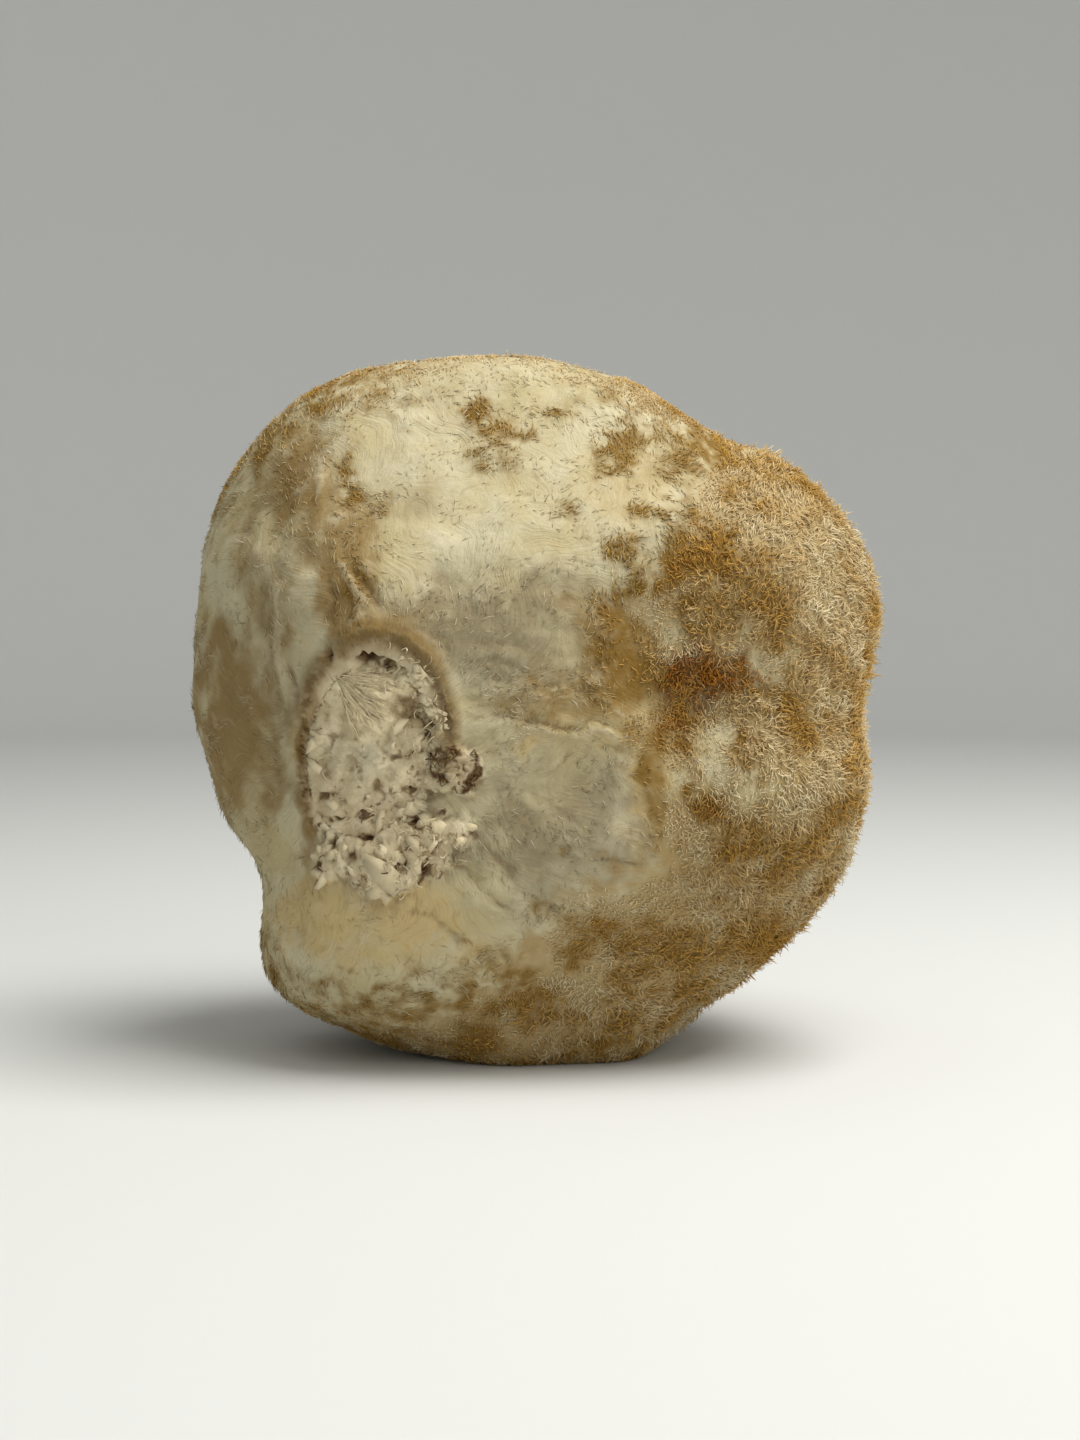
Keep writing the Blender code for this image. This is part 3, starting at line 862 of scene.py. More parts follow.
def grow(roots, ways, starts, lengths, parts, curl, droop, rng):
    """Paths of strands that set out in their start directions, curl evenly and bend down to the skin."""
    spin = curl * unit(rng.normal(size=roots.shape)) * rng.uniform(0.3, 1.6, (len(roots), 1))
    heading = starts
    place = roots - ways * ROOT_DEPTH
    path = [place]
    for part in range(parts):
        place = place + heading * ((lengths + ROOT_DEPTH) / parts)[:, None]
        low = SKIN_CLEARANCE * (part + 1) - ((place - roots) * ways).sum(axis=1)
        place = place + ways * np.maximum(low, 0)[:, None]
        path.append(place)
        heading = unit(heading + np.cross(spin, heading) - droop * ways)
    return np.stack(path, axis=1)


def clumped(paths, ratio, strength, rng):
    """The paths, drawn towards that of the strand in the middle of each clump, most at their tips.

    ratio is the strands' spacing as a share of the clumps'.
    """
    roots = paths[:, 0]
    chosen = rng.choice(len(roots), math.ceil(len(roots) * ratio**2), replace=False)
    tree = kdtree.KDTree(len(chosen))
    for place, index in enumerate(chosen):
        tree.insert(roots[index], place)
    tree.balance()
    nearest = chosen[[tree.find(root)[1] for root in roots]]
    share = strength * rng.uniform(0.2, 1.6, len(roots))
    along = np.linspace(0, 1, paths.shape[1]) ** 1.5
    return paths + share[:, None, None] * along[None, :, None] * (paths[nearest, -1:] - paths[:, -1:])


def level_on(vectors, ways):
    """The vectors, turned to run along the skin."""
    return unit(vectors - ways * (vectors * ways).sum(axis=1)[:, None])


def combed(points, ways, whorl):
    """The direction along the skin that strands lean in: away from the scar, with whorls of that strength."""
    scar = np.array([SCAR_MIDDLE[0], -FRONT_DEPTH, SCAR_MIDDLE[1]])
    lean = unit(points - scar)
    for size, strength, seed in ((20, 1.3, 91), (7, 0.6, 94)):
        places = points / (size * MM)
        noises = np.stack([ripple(places, seed + axis) for axis in range(3)], axis=1)
        lean = lean + whorl * strength * noises
    return level_on(lean, ways)


def places_and_ways(found):
    """The places and the outward directions in a tree's answers."""
    places, ways, *_ = zip(*found)
    return np.array(places), np.array(ways)


def on_skin(tree, points):
    """The nearest places on the skin and its outward directions there."""
    return places_and_ways([tree.find_nearest(Vector(point)) for point in points])


def on_view(tree, across, up):
    """The places on the skin that look to be at (across, up) in mm, and the outward directions there."""
    offset = np.outer(across, (MM, 0, 0)) + np.outer(up * MM - VIEW_TARGET[2], VIEW_UPWARD)
    rays = VIEW_DISTANCE * VIEW_FORWARD + offset
    return places_and_ways([tree.ray_cast(Vector(EYE), Vector(ray)) for ray in rays])


def rooted(tree, spacing, chance, rng):
    """Places on the skin that many mm apart, each kept at the chance that the function gives."""
    roots = form(spread_apart(spacing, rng))
    roots = roots[rng.uniform(size=len(roots)) < chance(roots)]
    return on_skin(tree, roots)


def strand_pieces(name, paths, widths, masks, taper=0.6):
    """Pieces of tapered strands along the paths, none over the limit of triangles."""
    parts = paths.shape[1] - 1
    most = PIECE_TRIANGLES // (6 * parts - 2)
    along = np.append(np.repeat(np.arange(parts) / parts, 3), 1)
    order = np.argsort(paths[:, 0, 0])
    made = []
    for number in range(math.ceil(len(order) / most)):
        chosen = order[number * most : (number + 1) * most]
        points, triangles = tubes(paths[chosen], widths[chosen], taper)
        points[:, 2] = np.maximum(points[:, 2], 0)
        piece = make_mesh(f"{name}_{number + 1}", points, triangles)
        set_masks(piece, {"along": np.tile(along, len(chosen))})
        set_masks(piece, {key: values[chosen] for key, values in masks.items()}, len(along))
        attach(piece, "root")
        made.append(piece)
    return made


def fine_share(points):
    """1 where the spines are short tangled ones, on the stem side and next to bare flesh, and 0 elsewhere."""
    short = smooth_step((2.2 * MM - spine_length(points)) / (1.7 * MM))
    return np.maximum(front_side(points), short)


# The strands of each kind: their spacing, width and length, and the spacing of their tufts, in mm
FAR_SPACING = 1.08
FAR_WIDTH = 0.66
FAR_TUFTS = 2.7
FUZZ_SPACING = 0.48
FUZZ_WIDTH = 0.22
FUZZ_LENGTHS = (0.9, 2.1)
FUZZ_TUFTS = 1.7
FUZZ_PATCHES = 2.6
FELT_SPACING = 0.52
FELT_WIDTH = 0.15
FELT_LENGTHS = (0.9, 2.3)


def far_spines(tree):
    """The long spines of the far side and the rim, combed in whorls and drawn together in tufts."""
    rng = np.random.default_rng(SEED + 1)

    def chance(points):
        return (1 - fine_share(points)) * (points[:, 2] > LOWEST_ROOT)

    roots, ways = rooted(tree, FAR_SPACING, chance, rng)
    height, fine = spine_length(roots), fine_share(roots)
    combs = level_on(combed(roots, ways, 1.0) + 0.5 * unit(rng.normal(size=roots.shape)), ways)
    lean = rng.uniform(0.25, 0.9, len(roots)) * (1 + 1.5 * fine)
    starts = unit(ways + combs * lean[:, None])
    lengths = height * rng.uniform(1.0, 1.5, len(roots)) * (1 - 0.45 * fine)
    paths = grow(roots, ways, starts, lengths, 3, 0.30, 0.24, rng)
    paths = clumped(paths, FAR_SPACING / FAR_TUFTS, 0.35, rng)
    widths = FAR_WIDTH * MM * rng.uniform(0.75, 1.25, len(roots))
    widths *= np.clip((height / SPINE_REACH) ** 1.5, 0.35, 1) * (1 - 0.4 * fine)
    masks = tones(roots) | {"tone": rng.uniform(0, 1, len(roots))}
    return strand_pieces("far_spines", paths, widths, masks)


def front_fuzz(tree):
    """The short fine tangled spines of the stem side's edge, drawn together in small tufts."""
    rng = np.random.default_rng(SEED + 2)

    def chance(points):
        uneven = 3.5 * ripple(points / (9 * MM), 96) + 2.0 * ripple(points / (3 * MM), 97)
        early = 1 + 5 * (1 - front_side(points))
        grown = smooth_step((past_bare(points) / MM + early + uneven) / 6)
        marks = tones(points)
        thinned = (1 - 0.45 * marks["bald"]) * (1 - 0.95 * marks["smooth"])
        return fine_share(points) * grown * thinned * (points[:, 2] > LOWEST_ROOT)

    roots, ways = rooted(tree, FUZZ_SPACING, chance, rng)
    count = len(roots)
    masks = tones(roots)
    height = spine_length(roots)
    grown = 0.5 + 0.5 * smooth_step(past_bare(roots) / (15 * MM))
    rim = 1 - front_side(roots)
    patches = np.clip(ripple(roots / (FUZZ_PATCHES * MM), 98), -1, 1)
    sides = level_on(0.7 * combed(roots, ways, 1.6) + unit(rng.normal(size=roots.shape)), ways)
    starts = unit(ways * (rng.uniform(0.2, 1.3, count) * grown)[:, None] + sides)
    lengths = rng.uniform(*FUZZ_LENGTHS, count) * MM * grown * np.clip(height / (1.2 * MM), 0.5, 1)
    lengths += rim * (0.75 * height + 1.1 * MM)
    lengths *= (1 + 0.35 * patches) * (1 - 0.25 * masks["bald"])
    paths = grow(roots, ways, starts, lengths, 3, 0.65, 0.13, rng)
    paths = clumped(paths, FUZZ_SPACING / FUZZ_TUFTS, 0.35, rng)
    out = ((paths - roots[:, None]) * ways[:, None]).sum(axis=2)
    over = np.maximum(out - (1.25 * height + (0.2 + 0.8 * rim) * MM)[:, None], 0)
    paths = paths - ways[:, None] * (0.85 * over)[:, :, None]
    widths = FUZZ_WIDTH * MM * rng.uniform(0.7, 1.3, count) * (0.5 + 0.5 * grown)
    widths *= (1 + rim * (0.9 + 0.8 * height / SPINE_REACH)) * (1 - 0.35 * masks["bald"])
    masks["tone"] = np.clip(rng.uniform(0.15, 0.85, count) + 0.40 * patches, 0, 1)
    return strand_pieces("front_fuzz", paths, widths, masks)


def felt(tree):
    """The fine hairs that lie flat on the bare flesh, closest together in its brown stains."""
    rng = np.random.default_rng(SEED + 3)

    def chance(points):
        marks = tones(points)
        bare = np.maximum(smooth_step(0.5 - past_bare(points) / (5 * MM)), 0.6 * marks["bald"])
        far, turn = scar_place(points)
        off_scar = (far > 1.25) | (points[:, 1] > MIDDLE[1])
        off_scar = off_scar * (1 - torn_share(*mm_seen(points), far) * facing(points))
        patchy = 0.12 + 0.22 * ripple(points / (6 * MM), 99) + 0.3 * (1 - shown(points))
        stained = marks["brown"] * (1 - 0.9 * marks["smooth"])
        return bare * off_scar * np.clip(patchy + 1.2 * stained, 0, 1) * (points[:, 2] > LOWEST_FELT)

    roots, ways = rooted(tree, FELT_SPACING, chance, rng)
    masks = tones(roots)
    brown = masks["brown"]
    combs = level_on(combed(roots, ways, 0.9) + 0.8 * unit(rng.normal(size=roots.shape)), ways)
    starts = unit(ways * (0.20 + 0.25 * brown)[:, None] + combs)
    lengths = rng.uniform(*FELT_LENGTHS, len(roots)) * (1 - 0.45 * brown) * MM
    paths = grow(roots, ways, starts, lengths, 2, 0.5, 0.25, rng)
    masks["tone"] = rng.uniform(0, 1, len(roots))
    widths = FELT_WIDTH * MM * rng.uniform(0.7, 1.3, len(roots)) * (1 + 0.6 * brown)
    return strand_pieces("felt", paths, widths, masks)


# Fibres, threads, curls and small flakes of the torn flesh: how many, and how wide and long, in mm
FAN_FIBRES = 110
FAN_RADIANS = (-1.25, 0.10)
FAN_STARTS = (0.2, 5.0)
FAN_LENGTHS = (2.5, 7.5)
FAN_WIDTHS = (0.2, 0.6)
THREADS = 240
THREAD_WIDTHS = (0.10, 0.28)
THREAD_LENGTHS = (0.8, 2.4)
CURL_WIDTHS = (0.12, 0.32)
CURL_STEPS = (0, 0.35, 0.7, 1.05)
FLAKES = 110
FLAKE_SIZE = 0.35
FLAKE_SIZE_RANGE = 0.60
TRIES_EACH = 6


def fan_paths(tree, count, rng):
    """Paths of the fibres that fan out over the scar from the fan's point."""
    way = rng.uniform(*FAN_RADIANS, count)
    near = rng.uniform(*FAN_STARTS, count)
    far = np.minimum(near + rng.uniform(*FAN_LENGTHS, count), FAN_REACH * 1.05)
    bend_by = rng.normal(0, 0.05, count)
    rows = []
    for t in np.linspace(0, 1, 6):
        reach = near + (far - near) * t
        angle = way + bend_by * t + 0.03 * np.sin(9 * t + way * 40)
        place, out = on_view(tree, FAN_APEX[0] + reach * np.cos(angle), FAN_APEX[1] + reach * np.sin(angle))
        rows.append(place + out * MM * (0.16 * math.sin(math.pi * t) - 0.08))
    return np.stack(rows, axis=1)


def scar_ways(ways):
    """The outward directions of places in the scar, evened out."""
    return unit(ways.mean(axis=0) + 0.15 * ways)


def knot_paths(tree, rng):
    """Paths of the short dark curls that follow the knot's lines."""
    found = []
    for line in KNOT_LINES:
        line = np.array(line)
        steps = np.concatenate([[0], np.cumsum(np.linalg.norm(np.diff(line, axis=0), axis=1))])
        starts = rng.uniform(-0.3, steps[-1], math.ceil(steps[-1] * KNOT_CURLS))
        rows = []
        for step in CURL_STEPS:
            bent = rng.normal(0, 0.5, (2, len(starts)))
            across = np.interp(starts + step, steps, line[:, 0]) + bent[0]
            up = np.interp(starts + step, steps, line[:, 1]) + bent[1]
            place, out = on_view(tree, across, up)
            rows.append(place + scar_ways(out) * (rng.uniform(0.0, 0.35, len(starts)) * MM)[:, None])
        found.append(np.stack(rows, axis=1))
    return np.concatenate(found)


def in_torn(count, rng):
    """Places in the torn flesh, most of them where it is crumbly, in mm."""
    tries = count * TRIES_EACH
    across, up = rng.uniform(*TORN_ACROSS, tries), rng.uniform(*TORN_UP, tries)
    far, turn = scar_place(np.stack([across * MM, np.full(len(across), -FRONT_DEPTH), up * MM], axis=1))
    share = torn_share(across, up, far) * (1 - smooth_step((far - 0.88) / 0.08) * lip_side(turn, across, up))
    share *= np.clip(0.15 + blots(across, up, CRUMBS), 0, 1)
    share *= (1 - 0.9 * fan_share(across, up)[0]) * (1 - blots(across, up, SOFT_MIDDLE))
    share *= np.hypot(across - KNOT[0], up - KNOT[1]) >= KNOT_RADIUS + 1.5
    kept = rng.uniform(size=len(across)) < share
    return across[kept][:count], up[kept][:count]


def torn_fibres(tree):
    """The fan of fibres, the crumbs' curled threads and the dark curls of the knot."""
    rng = np.random.default_rng(SEED + 4)
    count = FAN_FIBRES
    fan = fan_paths(tree, count, rng)
    masks = {"tone": rng.uniform(0.6, 1, count), "dark": (rng.uniform(size=count) < 0.04) * 0.5}
    masks["warm"] = rng.uniform(0, 0.3, count)
    made = strand_pieces("fan_fibres", fan, rng.uniform(*FAN_WIDTHS, count) * MM, masks, 0.75)
    roots, ways = on_view(tree, *in_torn(THREADS, rng))
    count = len(roots)
    lengths = rng.uniform(*THREAD_LENGTHS, count) * MM
    ways = scar_ways(ways)
    sides = level_on(rng.normal(size=roots.shape), ways)
    starts = unit(sides + ways * rng.uniform(0, 0.25, count)[:, None])
    threads = grow(roots, ways, starts, lengths, 4, 0.8, 0.15, rng)
    masks = {"tone": rng.uniform(0.1, 1, count)}
    masks["dark"] = (rng.uniform(size=count) < 0.12) * rng.uniform(0.5, 1, count)
    masks["warm"] = (rng.uniform(size=count) < 0.25) * 0.7
    made += strand_pieces("torn_threads", threads, rng.uniform(*THREAD_WIDTHS, count) * MM, masks, 0.4)
    knot = knot_paths(tree, rng)
    count = len(knot)
    masks = {"tone": np.zeros(count), "dark": rng.uniform(0.0, 0.65, count), "warm": np.ones(count)}
    return made + strand_pieces("torn_knot", knot, rng.uniform(*CURL_WIDTHS, count) * MM, masks, 0.5)


# Large flakes at the foot of the scar: across, up and half width in mm
LARGE_FLAKES = (
    (-20.9, 23.4, 1.7), (-19.9, 26.4, 1.1), (-17.3, 24.9, 1.2), (-21.8, 26.2, 0.9), (-11.2, 28, 0.7),
    (-14.3, 29.6, 1.1), (-17.6, 32.6, 0.9), (-28.6, 32.9, 1), (-19, 50.4, 0.9), (-17.5, 44.3, 1),
    (-31.3, 41.5, 0.8), (-30.8, 38, 0.9), (-22.5, 21.5, 1.2),
)
FLAKE_SIDES = 9


def torn_flakes(tree):
    """The small bent flakes that lie all over the torn flesh."""
    rng = np.random.default_rng(SEED + 5)
    across, up = in_torn(FLAKES, rng)
    large = np.array(LARGE_FLAKES)
    across, up = np.concatenate([large[:, 0], across]), np.concatenate([large[:, 1], up])
    count = len(across)
    is_large = np.arange(count) < len(large)
    small = FLAKE_SIZE + FLAKE_SIZE_RANGE * rng.uniform(size=count - len(large)) ** 2
    sizes = np.concatenate([large[:, 2], small]) * MM
    places, ways = on_view(tree, across, up)
    tilt = np.where(is_large, 0.6, 1)[:, None] * 0.24 * rng.normal(size=ways.shape)
    out = unit(scar_ways(ways) + tilt)
    first = level_on(rng.normal(size=out.shape), out)
    second = np.cross(out, first)
    stretch = rng.uniform(1.2, 2.4, count)
    thick = sizes * rng.uniform(0.10, 0.18, count)
    curl = rng.uniform(-0.30, 0.05, count)
    rise = rng.uniform(-0.05, 0.15, count) * sizes
    tops, bottoms = [], []
    for side in range(FLAKE_SIDES):
        turn = side / FLAKE_SIDES * math.tau
        reach = sizes * rng.uniform(0.50, 1.25, count)
        flat = first * (reach * stretch * math.cos(turn))[:, None]
        flat += second * (reach * math.sin(turn))[:, None]
        height = rise + curl * reach * (0.4 + 0.6 * abs(math.cos(turn)))
        tops.append(places + flat + out * height[:, None])
        bottoms.append(places + flat * 0.86 + out * (height - thick)[:, None])
    middle = places + out * (rise + 0.05 * sizes)[:, None]
    under = places + out * (rise - thick * 1.3)[:, None]
    points = np.stack([*tops, *bottoms, middle, under], axis=1)
    faces = []
    for side in range(FLAKE_SIDES):
        beside = (side + 1) % FLAKE_SIDES
        low, low_beside = side + FLAKE_SIDES, beside + FLAKE_SIDES
        faces += [(2 * FLAKE_SIDES, side, beside), (2 * FLAKE_SIDES + 1, low_beside, low)]
        faces += [(side, low, low_beside), (side, low_beside, beside)]
    corners = 2 * FLAKE_SIDES + 2
    made = make_mesh("torn_flakes", points.reshape(-1, 3), repeated(faces, count, corners))
    tone = rng.uniform(0.25, 1, count)
    tone[is_large] = rng.uniform(0.5, 0.8, len(large))
    masks = {"tone": tone, "dark": (rng.uniform(size=count) < 0.07) * 0.8 * ~is_large}
    masks["warm"] = (rng.uniform(size=count) < 0.2) * 0.6
    set_masks(made, masks, corners)
    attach(made, "root")
    return made


def add_node(tree, kind, inputs=None, **settings):
    """A node with these settings, whose inputs are given values or joined to other nodes' outputs."""
    made = tree.nodes.new(kind)
    for key, value in settings.items():
        setattr(made, key, value)
    for key, value in (inputs or {}).items():
        if isinstance(value, bpy.types.NodeSocket):
            tree.links.new(value, made.inputs[key])
        else:
            made.inputs[key].default_value = value
    return made


# The sockets of a mix node that hold colours
MIX_UNDER, MIX_OVER = 6, 7
MIX_RESULT = 2


class Paint:
    """Short names for the nodes of one matt material."""

    def __init__(self, name, roughness=0.88):
        self.material = bpy.data.materials.new(name)
        self.material.use_nodes = True
        self.tree = self.material.node_tree
        self.surface = self.tree.nodes["Principled BSDF"]
        self.surface.inputs["Roughness"].default_value = roughness
        self.surface.inputs["Specular IOR Level"].default_value = 0.12

    def join(self, name, output):
        """Gives the surface this colour or normal."""
        self.tree.links.new(output, self.surface.inputs[name])

    def mask(self, name, output="Fac"):
        """A number, or with the output Vector a row of three, stored on the piece's points."""
        return add_node(self.tree, "ShaderNodeAttribute", attribute_name=name).outputs[output]

    def place(self):
        """The point's own place, in metres."""
        return add_node(self.tree, "ShaderNodeTexCoord").outputs["Object"]

    def noise(self, vector, scale, detail=4.0, rough=0.6):
        """Noise from 0 to 1."""
        inputs = {"Vector": vector, "Scale": scale, "Detail": detail, "Roughness": rough}
        return add_node(self.tree, "ShaderNodeTexNoise", inputs).outputs["Fac"]

    def arithmetic(self, kind, a, b, clamp=False):
        """One step of arithmetic, on two numbers."""
        node = add_node(self.tree, "ShaderNodeMath", {0: a, 1: b}, operation=kind, use_clamp=clamp)
        return node.outputs[0]

    def times(self, a, b):
        """One number times another."""
        return self.arithmetic("MULTIPLY", a, b)

    def ramp(self, value, low, high):
        """0 at low and 1 at high, with a smooth rise between."""
        inputs = {"Value": value, "From Min": low, "From Max": high}
        node = add_node(self.tree, "ShaderNodeMapRange", inputs, interpolation_type="SMOOTHSTEP")
        return node.outputs["Result"]

    def mix(self, factor, under, over):
        """One colour over another."""
        inputs = {0: factor}
        for key, colour in ((MIX_UNDER, under), (MIX_OVER, over)):
            inputs[key] = colour if isinstance(colour, bpy.types.NodeSocket) else (*colour, 1)
        return add_node(self.tree, "ShaderNodeMix", inputs, data_type="RGBA").outputs[MIX_RESULT]

    def part(self, mask, share, under, over):
        """A colour over another by a share of a mask."""
        return self.mix(self.arithmetic("MULTIPLY", mask, share, True), under, over)

    def bump(self, height, distance, **below):
        """A normal that follows the height, of that many metres, on top of the one below."""
        inputs = {"Height": height, "Distance": distance, "Strength": 1.0} | below
        return add_node(self.tree, "ShaderNodeBump", inputs).outputs["Normal"]


# Colours of the flesh and of its hairs, painted shade and highlight among them, and the depths of its fine
# relief
CREAM = (0.555, 0.503, 0.338)
CREAM_SHADE = (0.49, 0.415, 0.23)
# Grey of the flesh, partly painted shade
GREY_FLESH_AND_SHADE = (0.255, 0.205, 0.12)
GOLDEN_FLESH = (0.56, 0.41, 0.18)
# Warm brown of the flesh and its grain, also used as painted shadow
WARM_FLESH_AND_SHADE = (0.25, 0.162, 0.056)
BROWN_FLESH = (0.20, 0.115, 0.025)
RUST_FLESH = (0.15, 0.06, 0.014)
# Near black: the knot's and some strands' own colour, and painted shade in pits, cracks and between crumbs
DARK_BROWN_AND_SHADE = (0.095, 0.042, 0.018)
# Skin under the short fuzz: the fuzz's brown and painted shade beneath it; under the long spines only painted
# shade
UNDER_FUZZ_AND_SHADE = (0.36, 0.24, 0.09)
UNDER_SPINES_SHADE = (0.17, 0.085, 0.028)
TORN_PALE = (0.86, 0.745, 0.505)
TORN_GREY = (0.54, 0.445, 0.27)
FAN_CREAM = (0.97, 0.84, 0.54)
# Tan of the torn flesh, also used as painted shade in its hollows
TORN_TAN_AND_SHADE = (0.34, 0.235, 0.12)
LIP_GOLD = (0.185, 0.120, 0.042)
CLEFT_BROWN = (0.21, 0.125, 0.038)
# Painted highlight on ridge tops, and painted shade in creases and hollows
PAINTED_CREST_HIGHLIGHT = (0.72, 0.65, 0.47)
PAINTED_HOLLOW_SHADE = (0.17, 0.10, 0.045)
HAIR_GOLD = (0.47, 0.30, 0.085)
HAIR_CREAM = (0.80, 0.73, 0.53)
FIBRE_BUMP = 0.18 * MM
FELT_BUMP = 0.12 * MM


def flesh_colour(paint, here):
    """The colour of bare flesh by its masks: cream, greyer and warmer in places, partly as painted shade; and
    a fine noise.
    """
    patchy = paint.noise(here, 95)
    small = paint.noise(here, 520, rough=0.65)
    colour = paint.mix(paint.ramp(patchy, 0.33, 0.66), CREAM_SHADE, CREAM)
    # Greyer below the dome and low on the front: partly painted shade
    colour = paint.part(paint.mask("grey"), 0.85, colour, GREY_FLESH_AND_SHADE)
    colour = paint.part(paint.mask("golden"), 0.75, colour, GOLDEN_FLESH)
    colour = paint.part(paint.ramp(small, 0.5, 0.75), 0.35, colour, CREAM_SHADE)
    # Warmer and darker by the warm mask: partly painted shadow
    warm = paint.times(paint.mask("warm"), paint.ramp(patchy, -0.3, 0.5))
    return paint.part(warm, 0.9, colour, WARM_FLESH_AND_SHADE), small


def scar_colour(paint, here, small):
    """The colour of the scar's torn flesh: cream and grey, with tan spots, and tan painted shade in its
    hollows.
    """
    hollow = paint.mask("hollow")
    torn = paint.mix(paint.ramp(paint.noise(here, 260), 0.35, 0.65), TORN_GREY, TORN_PALE)
    spots = paint.ramp(paint.noise(here, 420), 0.50, 0.72)
    spots = paint.times(spots, paint.ramp(paint.mask("soft"), 1.0, 0.0))
    torn = paint.part(spots, 0.6, torn, TORN_TAN_AND_SHADE)
    torn = paint.part(paint.mask("fan"), 0.95, torn, FAN_CREAM)
    # Painted shade: the torn flesh's hollows are tinted tan
    torn = paint.part(paint.ramp(hollow, 0.0, 0.55), 0.55, torn, TORN_TAN_AND_SHADE)
    tan = paint.times(paint.mask("tan"), paint.ramp(small, 0.30, 0.60))
    return paint.part(tan, 0.8, torn, TORN_TAN_AND_SHADE)


def skin_paint():
    """Dry felted flesh, torn and dark in the scar, brown between the spines, with painted shade in its
    creases, pits and under the spines, and a painted highlight on its ridges.
    """
    paint = Paint("dry_flesh")
    here = paint.place()
    colour, small = flesh_colour(paint, here)
    fibres = paint.noise(paint.mask("grain", "Vector"), 2.2)
    brown = paint.times(paint.mask("brown"), paint.ramp(small, 0.2, 0.5))
    colour = paint.part(paint.ramp(fibres, 0.52, 0.75), 0.35, colour, WARM_FLESH_AND_SHADE)
    colour = paint.part(paint.ramp(fibres, 0.48, 0.25), 0.20, colour, CREAM)
    # Under the spines: their brown and painted shade beneath them, darkest under the long far spines
    colour = paint.part(paint.mask("spiny"), 0.7, colour, UNDER_FUZZ_AND_SHADE)
    colour = paint.part(brown, 1.0, colour, BROWN_FLESH)
    colour = paint.part(paint.mask("behind"), 0.9, colour, UNDER_SPINES_SHADE)
    colour = paint.part(paint.mask("rust"), 0.7, colour, RUST_FLESH)
    colour = paint.mix(paint.mask("torn"), colour, scar_colour(paint, here, small))
    hollow = paint.mask("hollow")
    # Painted highlight on the ridges of the relief
    colour = paint.part(paint.ramp(hollow, -0.05, -0.45), 0.25, colour, PAINTED_CREST_HIGHLIGHT)
    colour = paint.part(paint.mask("lip"), 0.95, colour, LIP_GOLD)
    # Painted shade in the creases and hollows of the relief
    colour = paint.part(paint.ramp(hollow, 0.05, 0.8), 0.60, colour, PAINTED_HOLLOW_SHADE)
    colour = paint.part(paint.mask("cleft"), 0.8, colour, CLEFT_BROWN)
    # Painted shade in pits, cracks and between crumbs, with the knot's dark lines and fine dark specks
    dark = paint.arithmetic("ADD", paint.times(paint.mask("dark"), 0.8), paint.times(small, 0.5))
    paint.join("Base Color", paint.mix(paint.ramp(dark, 0.45, 1.0), colour, DARK_BROWN_AND_SHADE))
    felted = paint.bump(fibres, FIBRE_BUMP)
    felted = paint.bump(paint.noise(here, 1400, 3), FELT_BUMP, Normal=felted)
    paint.join("Normal", felted)
    return paint.material


def felt_paint():
    """Fine flat hairs in the colours of the flesh, its painted shade included, each a little paler or darker.
    """
    paint = Paint("fine_felt", 0.8)
    colour, small = flesh_colour(paint, paint.place())
    tone = paint.mask("tone")
    colour = paint.part(paint.ramp(tone, 0.4, 1.0), 0.55, colour, HAIR_CREAM)
    colour = paint.part(paint.ramp(tone, 0.4, 0.0), 0.20, colour, WARM_FLESH_AND_SHADE)
    colour = paint.part(paint.mask("brown"), 1.1, colour, paint.mix(tone, BROWN_FLESH, HAIR_GOLD))
    paint.join("Base Color", paint.part(paint.mask("rust"), 0.7, colour, RUST_FLESH))
    return paint.material


# Spines: the colours of the darkest and the palest of each kind, blended partly as painted light, and the
# painted shade at their roots
GOLD = ((0.40, 0.25, 0.08), (0.70, 0.51, 0.24))
PALE_GOLD = ((0.58, 0.47, 0.26), (0.86, 0.76, 0.52))
BROWN_GOLD = ((0.30, 0.145, 0.016), (0.58, 0.33, 0.055))
RUST_GOLD = ((0.20, 0.066, 0.006), (0.45, 0.175, 0.020))
FAR_GOLD = ((0.36, 0.20, 0.06), (0.66, 0.44, 0.19))
# Painted shade at the spines' roots
SPINE_ROOT_SHADE = (0.17, 0.08, 0.024)
SPINE_KINDS = (
    ("behind", 1.0, FAR_GOLD),
    ("pale", 1.0, PALE_GOLD),
    ("brown", 0.9, BROWN_GOLD),
    ("rust", 0.9, RUST_GOLD),
)


def spine_paint():
    """Spines: dark golden at the root and tan at the tip, that gradient partly painted shade at the roots and
    painted light on the tips; paler or browner in places.
    """
    paint = Paint("dry_spines", 0.82)
    along, tone = paint.mask("along"), paint.mask("tone")
    # Paler towards the tip, partly painted light, and by each spine's own tone
    lit = paint.arithmetic("ADD", paint.times(along, 0.55), paint.times(tone, 0.55), True)
    colour = paint.mix(lit, *GOLD)
    for mask, share, colours in SPINE_KINDS:
        colour = paint.part(paint.mask(mask), share, colour, paint.mix(lit, *colours))
    # Painted shade: darker still at the root, among the spines
    paint.join("Base Color", paint.part(paint.ramp(along, 0.5, 0.0), 0.6, colour, SPINE_ROOT_SHADE))
    return paint.material


def torn_paint():
    """Torn flesh: creamy grey flakes and fibres, some of them brown or nearly black."""
    paint = Paint("torn_flesh", 0.85)
    colour = paint.mix(paint.mask("tone"), TORN_GREY, TORN_PALE)
    speckled = paint.ramp(paint.noise(paint.place(), 900, 3), 0.35, 0.7)
    colour = paint.part(speckled, 0.3, colour, TORN_GREY)
    colour = paint.part(paint.mask("warm"), 1.0, colour, WARM_FLESH_AND_SHADE)
    paint.join("Base Color", paint.mix(paint.mask("dark"), colour, DARK_BROWN_AND_SHADE))
    return paint.material


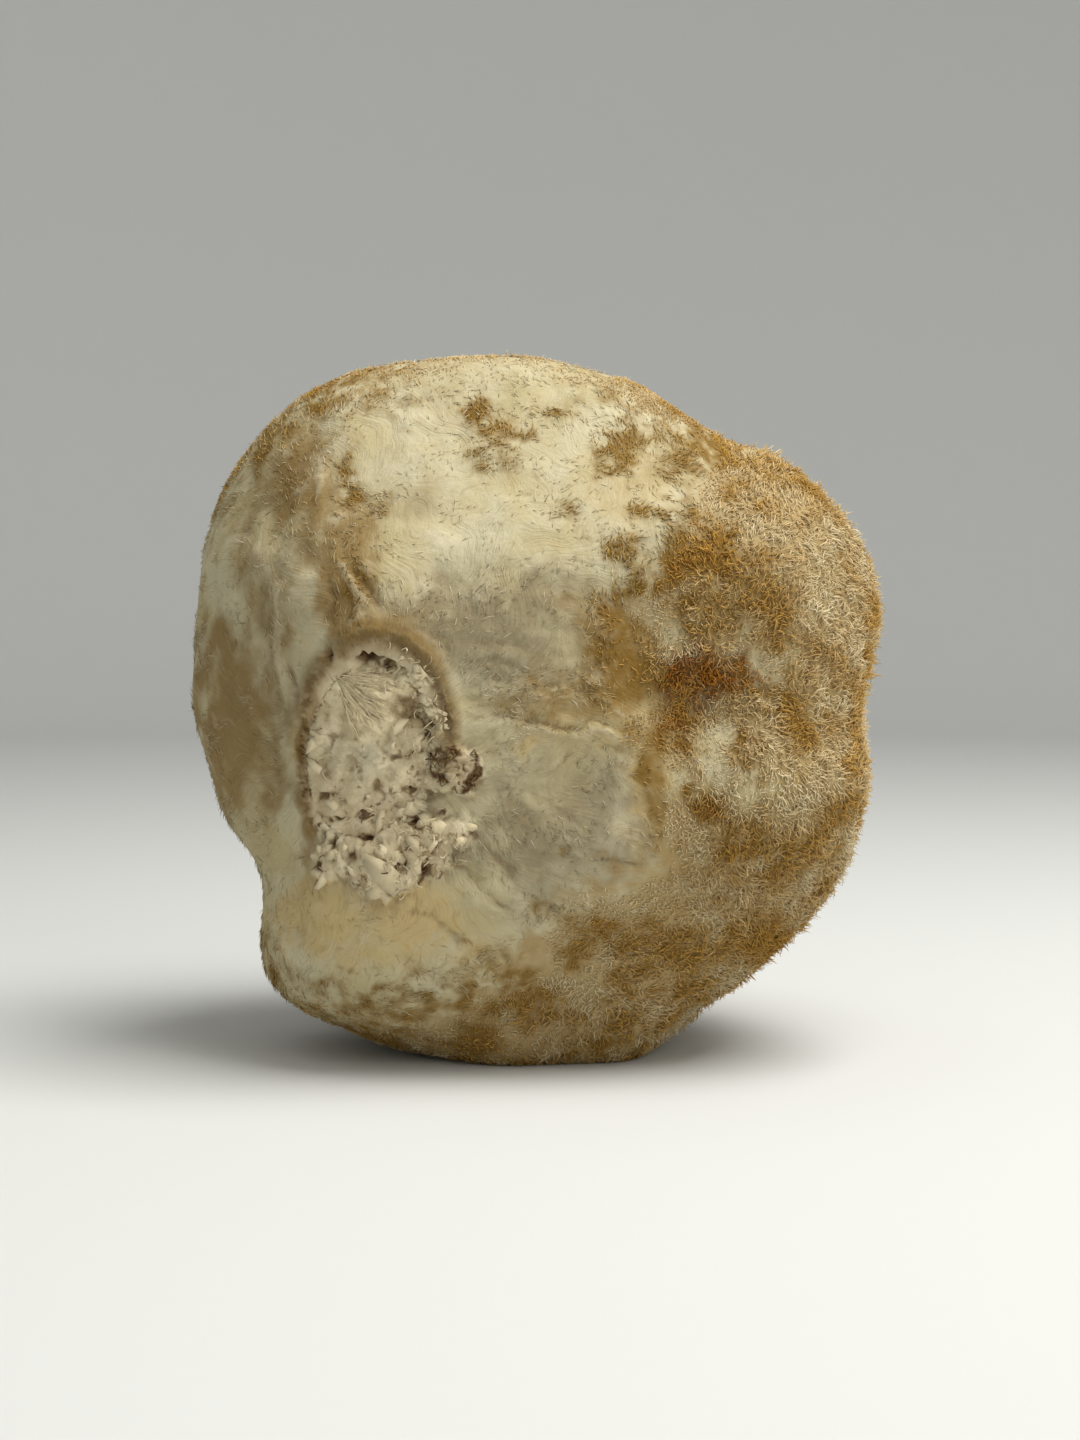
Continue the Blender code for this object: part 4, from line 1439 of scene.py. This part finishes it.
# Stage: a pale floor that curves up all round, a soft light overhead and a weak one in front
FLOOR_RADIUS = 0.75
WALL_RADIUS = 1.05
WALL_HEIGHT = 0.9
FLOOR_SIDES = 96
CURVE_STEPS = 12
STAGE_GREY = (0.66, 0.665, 0.65)
LIGHT_TARGET = (0, 0, 0.045)
LIGHT_COLOUR = (1.0, 0.985, 0.95)
SKY_COLOUR = (0.98, 0.99, 0.97, 1)
SKY_STRENGTH = 0.45
PICTURE_WIDTH, PICTURE_HEIGHT = 1080, 1440
SHOWN_WIDTH = 150 * MM


def stage_floor():
    """A pale round floor whose edge curves up into a wall."""
    rise = WALL_RADIUS - FLOOR_RADIUS
    profile = [(FLOOR_RADIUS * 0.5, 0.0)]
    for step in range(CURVE_STEPS + 1):
        turn = step / CURVE_STEPS * math.pi / 2
        profile.append((FLOOR_RADIUS + rise * math.sin(turn), rise * (1 - math.cos(turn))))
    profile.append((WALL_RADIUS, WALL_HEIGHT))
    points = []
    for radius, height in profile:
        for side in range(FLOOR_SIDES):
            turn = math.tau * side / FLOOR_SIDES
            points.append((radius * math.cos(turn), radius * math.sin(turn), height))
    faces = []
    for side in range(FLOOR_SIDES):
        beside = (side + 1) % FLOOR_SIDES
        faces.append((len(points), side, beside))
        for ring in range(0, len(points) - FLOOR_SIDES, FLOOR_SIDES):
            outer = ring + FLOOR_SIDES
            faces.append((ring + side, outer + side, outer + beside, ring + beside))
    mesh = bpy.data.meshes.new("stage_floor")
    mesh.from_pydata([*points, (0, 0, 0)], [], faces)
    mesh.shade_smooth()
    paint = Paint("stage_paint", 0.9)
    paint.surface.inputs["Base Color"].default_value = (*STAGE_GREY, 1)
    mesh.materials.append(paint.material)
    made = bpy.data.objects.new("stage_floor", mesh)
    bpy.context.scene.collection.objects.link(made)


def aimed(name, data, place, target):
    """A camera or light at a place, pointing at another."""
    made = bpy.data.objects.new(name, data)
    made.location = place
    made.rotation_mode = "QUATERNION"
    made.rotation_quaternion = (Vector(target) - Vector(place)).to_track_quat("-Z", "Y")
    bpy.context.scene.collection.objects.link(made)
    return made


def soft_light(name, size, power, place):
    """A square soft light that points at the mushroom."""
    light = bpy.data.lights.new(name, "AREA")
    light.shape = "SQUARE"
    light.size = size
    light.energy = power
    light.color = LIGHT_COLOUR
    aimed(name, light, place, LIGHT_TARGET)


def lights():
    """Soft light from above, a weak fill in front, and a pale sky."""
    soft_light("light_above", 0.40, 4.2, (0.22, -0.10, 0.57))
    soft_light("light_front", 0.5, 1.4, (0.50, -0.66, 0.40))
    world = bpy.data.worlds.new("sky")
    world.use_nodes = True
    sky = world.node_tree.nodes["Background"]
    sky.inputs["Color"].default_value = SKY_COLOUR
    sky.inputs["Strength"].default_value = SKY_STRENGTH
    bpy.context.scene.world = world
    bpy.context.scene.view_settings.view_transform = "Standard"


def camera():
    """The camera at the photograph's angle, closed in on the mushroom."""
    data = bpy.data.cameras.new("camera")
    data.sensor_fit = "AUTO"
    data.lens = data.sensor_width * VIEW_DISTANCE / (SHOWN_WIDTH * PICTURE_HEIGHT / PICTURE_WIDTH)
    data.clip_start, data.clip_end = 0.01, 10
    bpy.context.scene.camera = aimed("camera", data, EYE, VIEW_TARGET)


camera()
lights()
stage_floor()
flesh = skin()
skin_tree = bvhtree.BVHTree.FromPolygons(
    [v.co[:] for v in flesh.data.vertices], [tuple(f.vertices) for f in flesh.data.polygons]
)
finishes = {
    skin_paint(): [flesh],
    spine_paint(): far_spines(skin_tree) + front_fuzz(skin_tree),
    felt_paint(): felt(skin_tree),
    torn_paint(): torn_fibres(skin_tree) + [torn_flakes(skin_tree)],
}
for finish, pieces in finishes.items():
    for piece in pieces:
        piece.data.materials.append(finish)
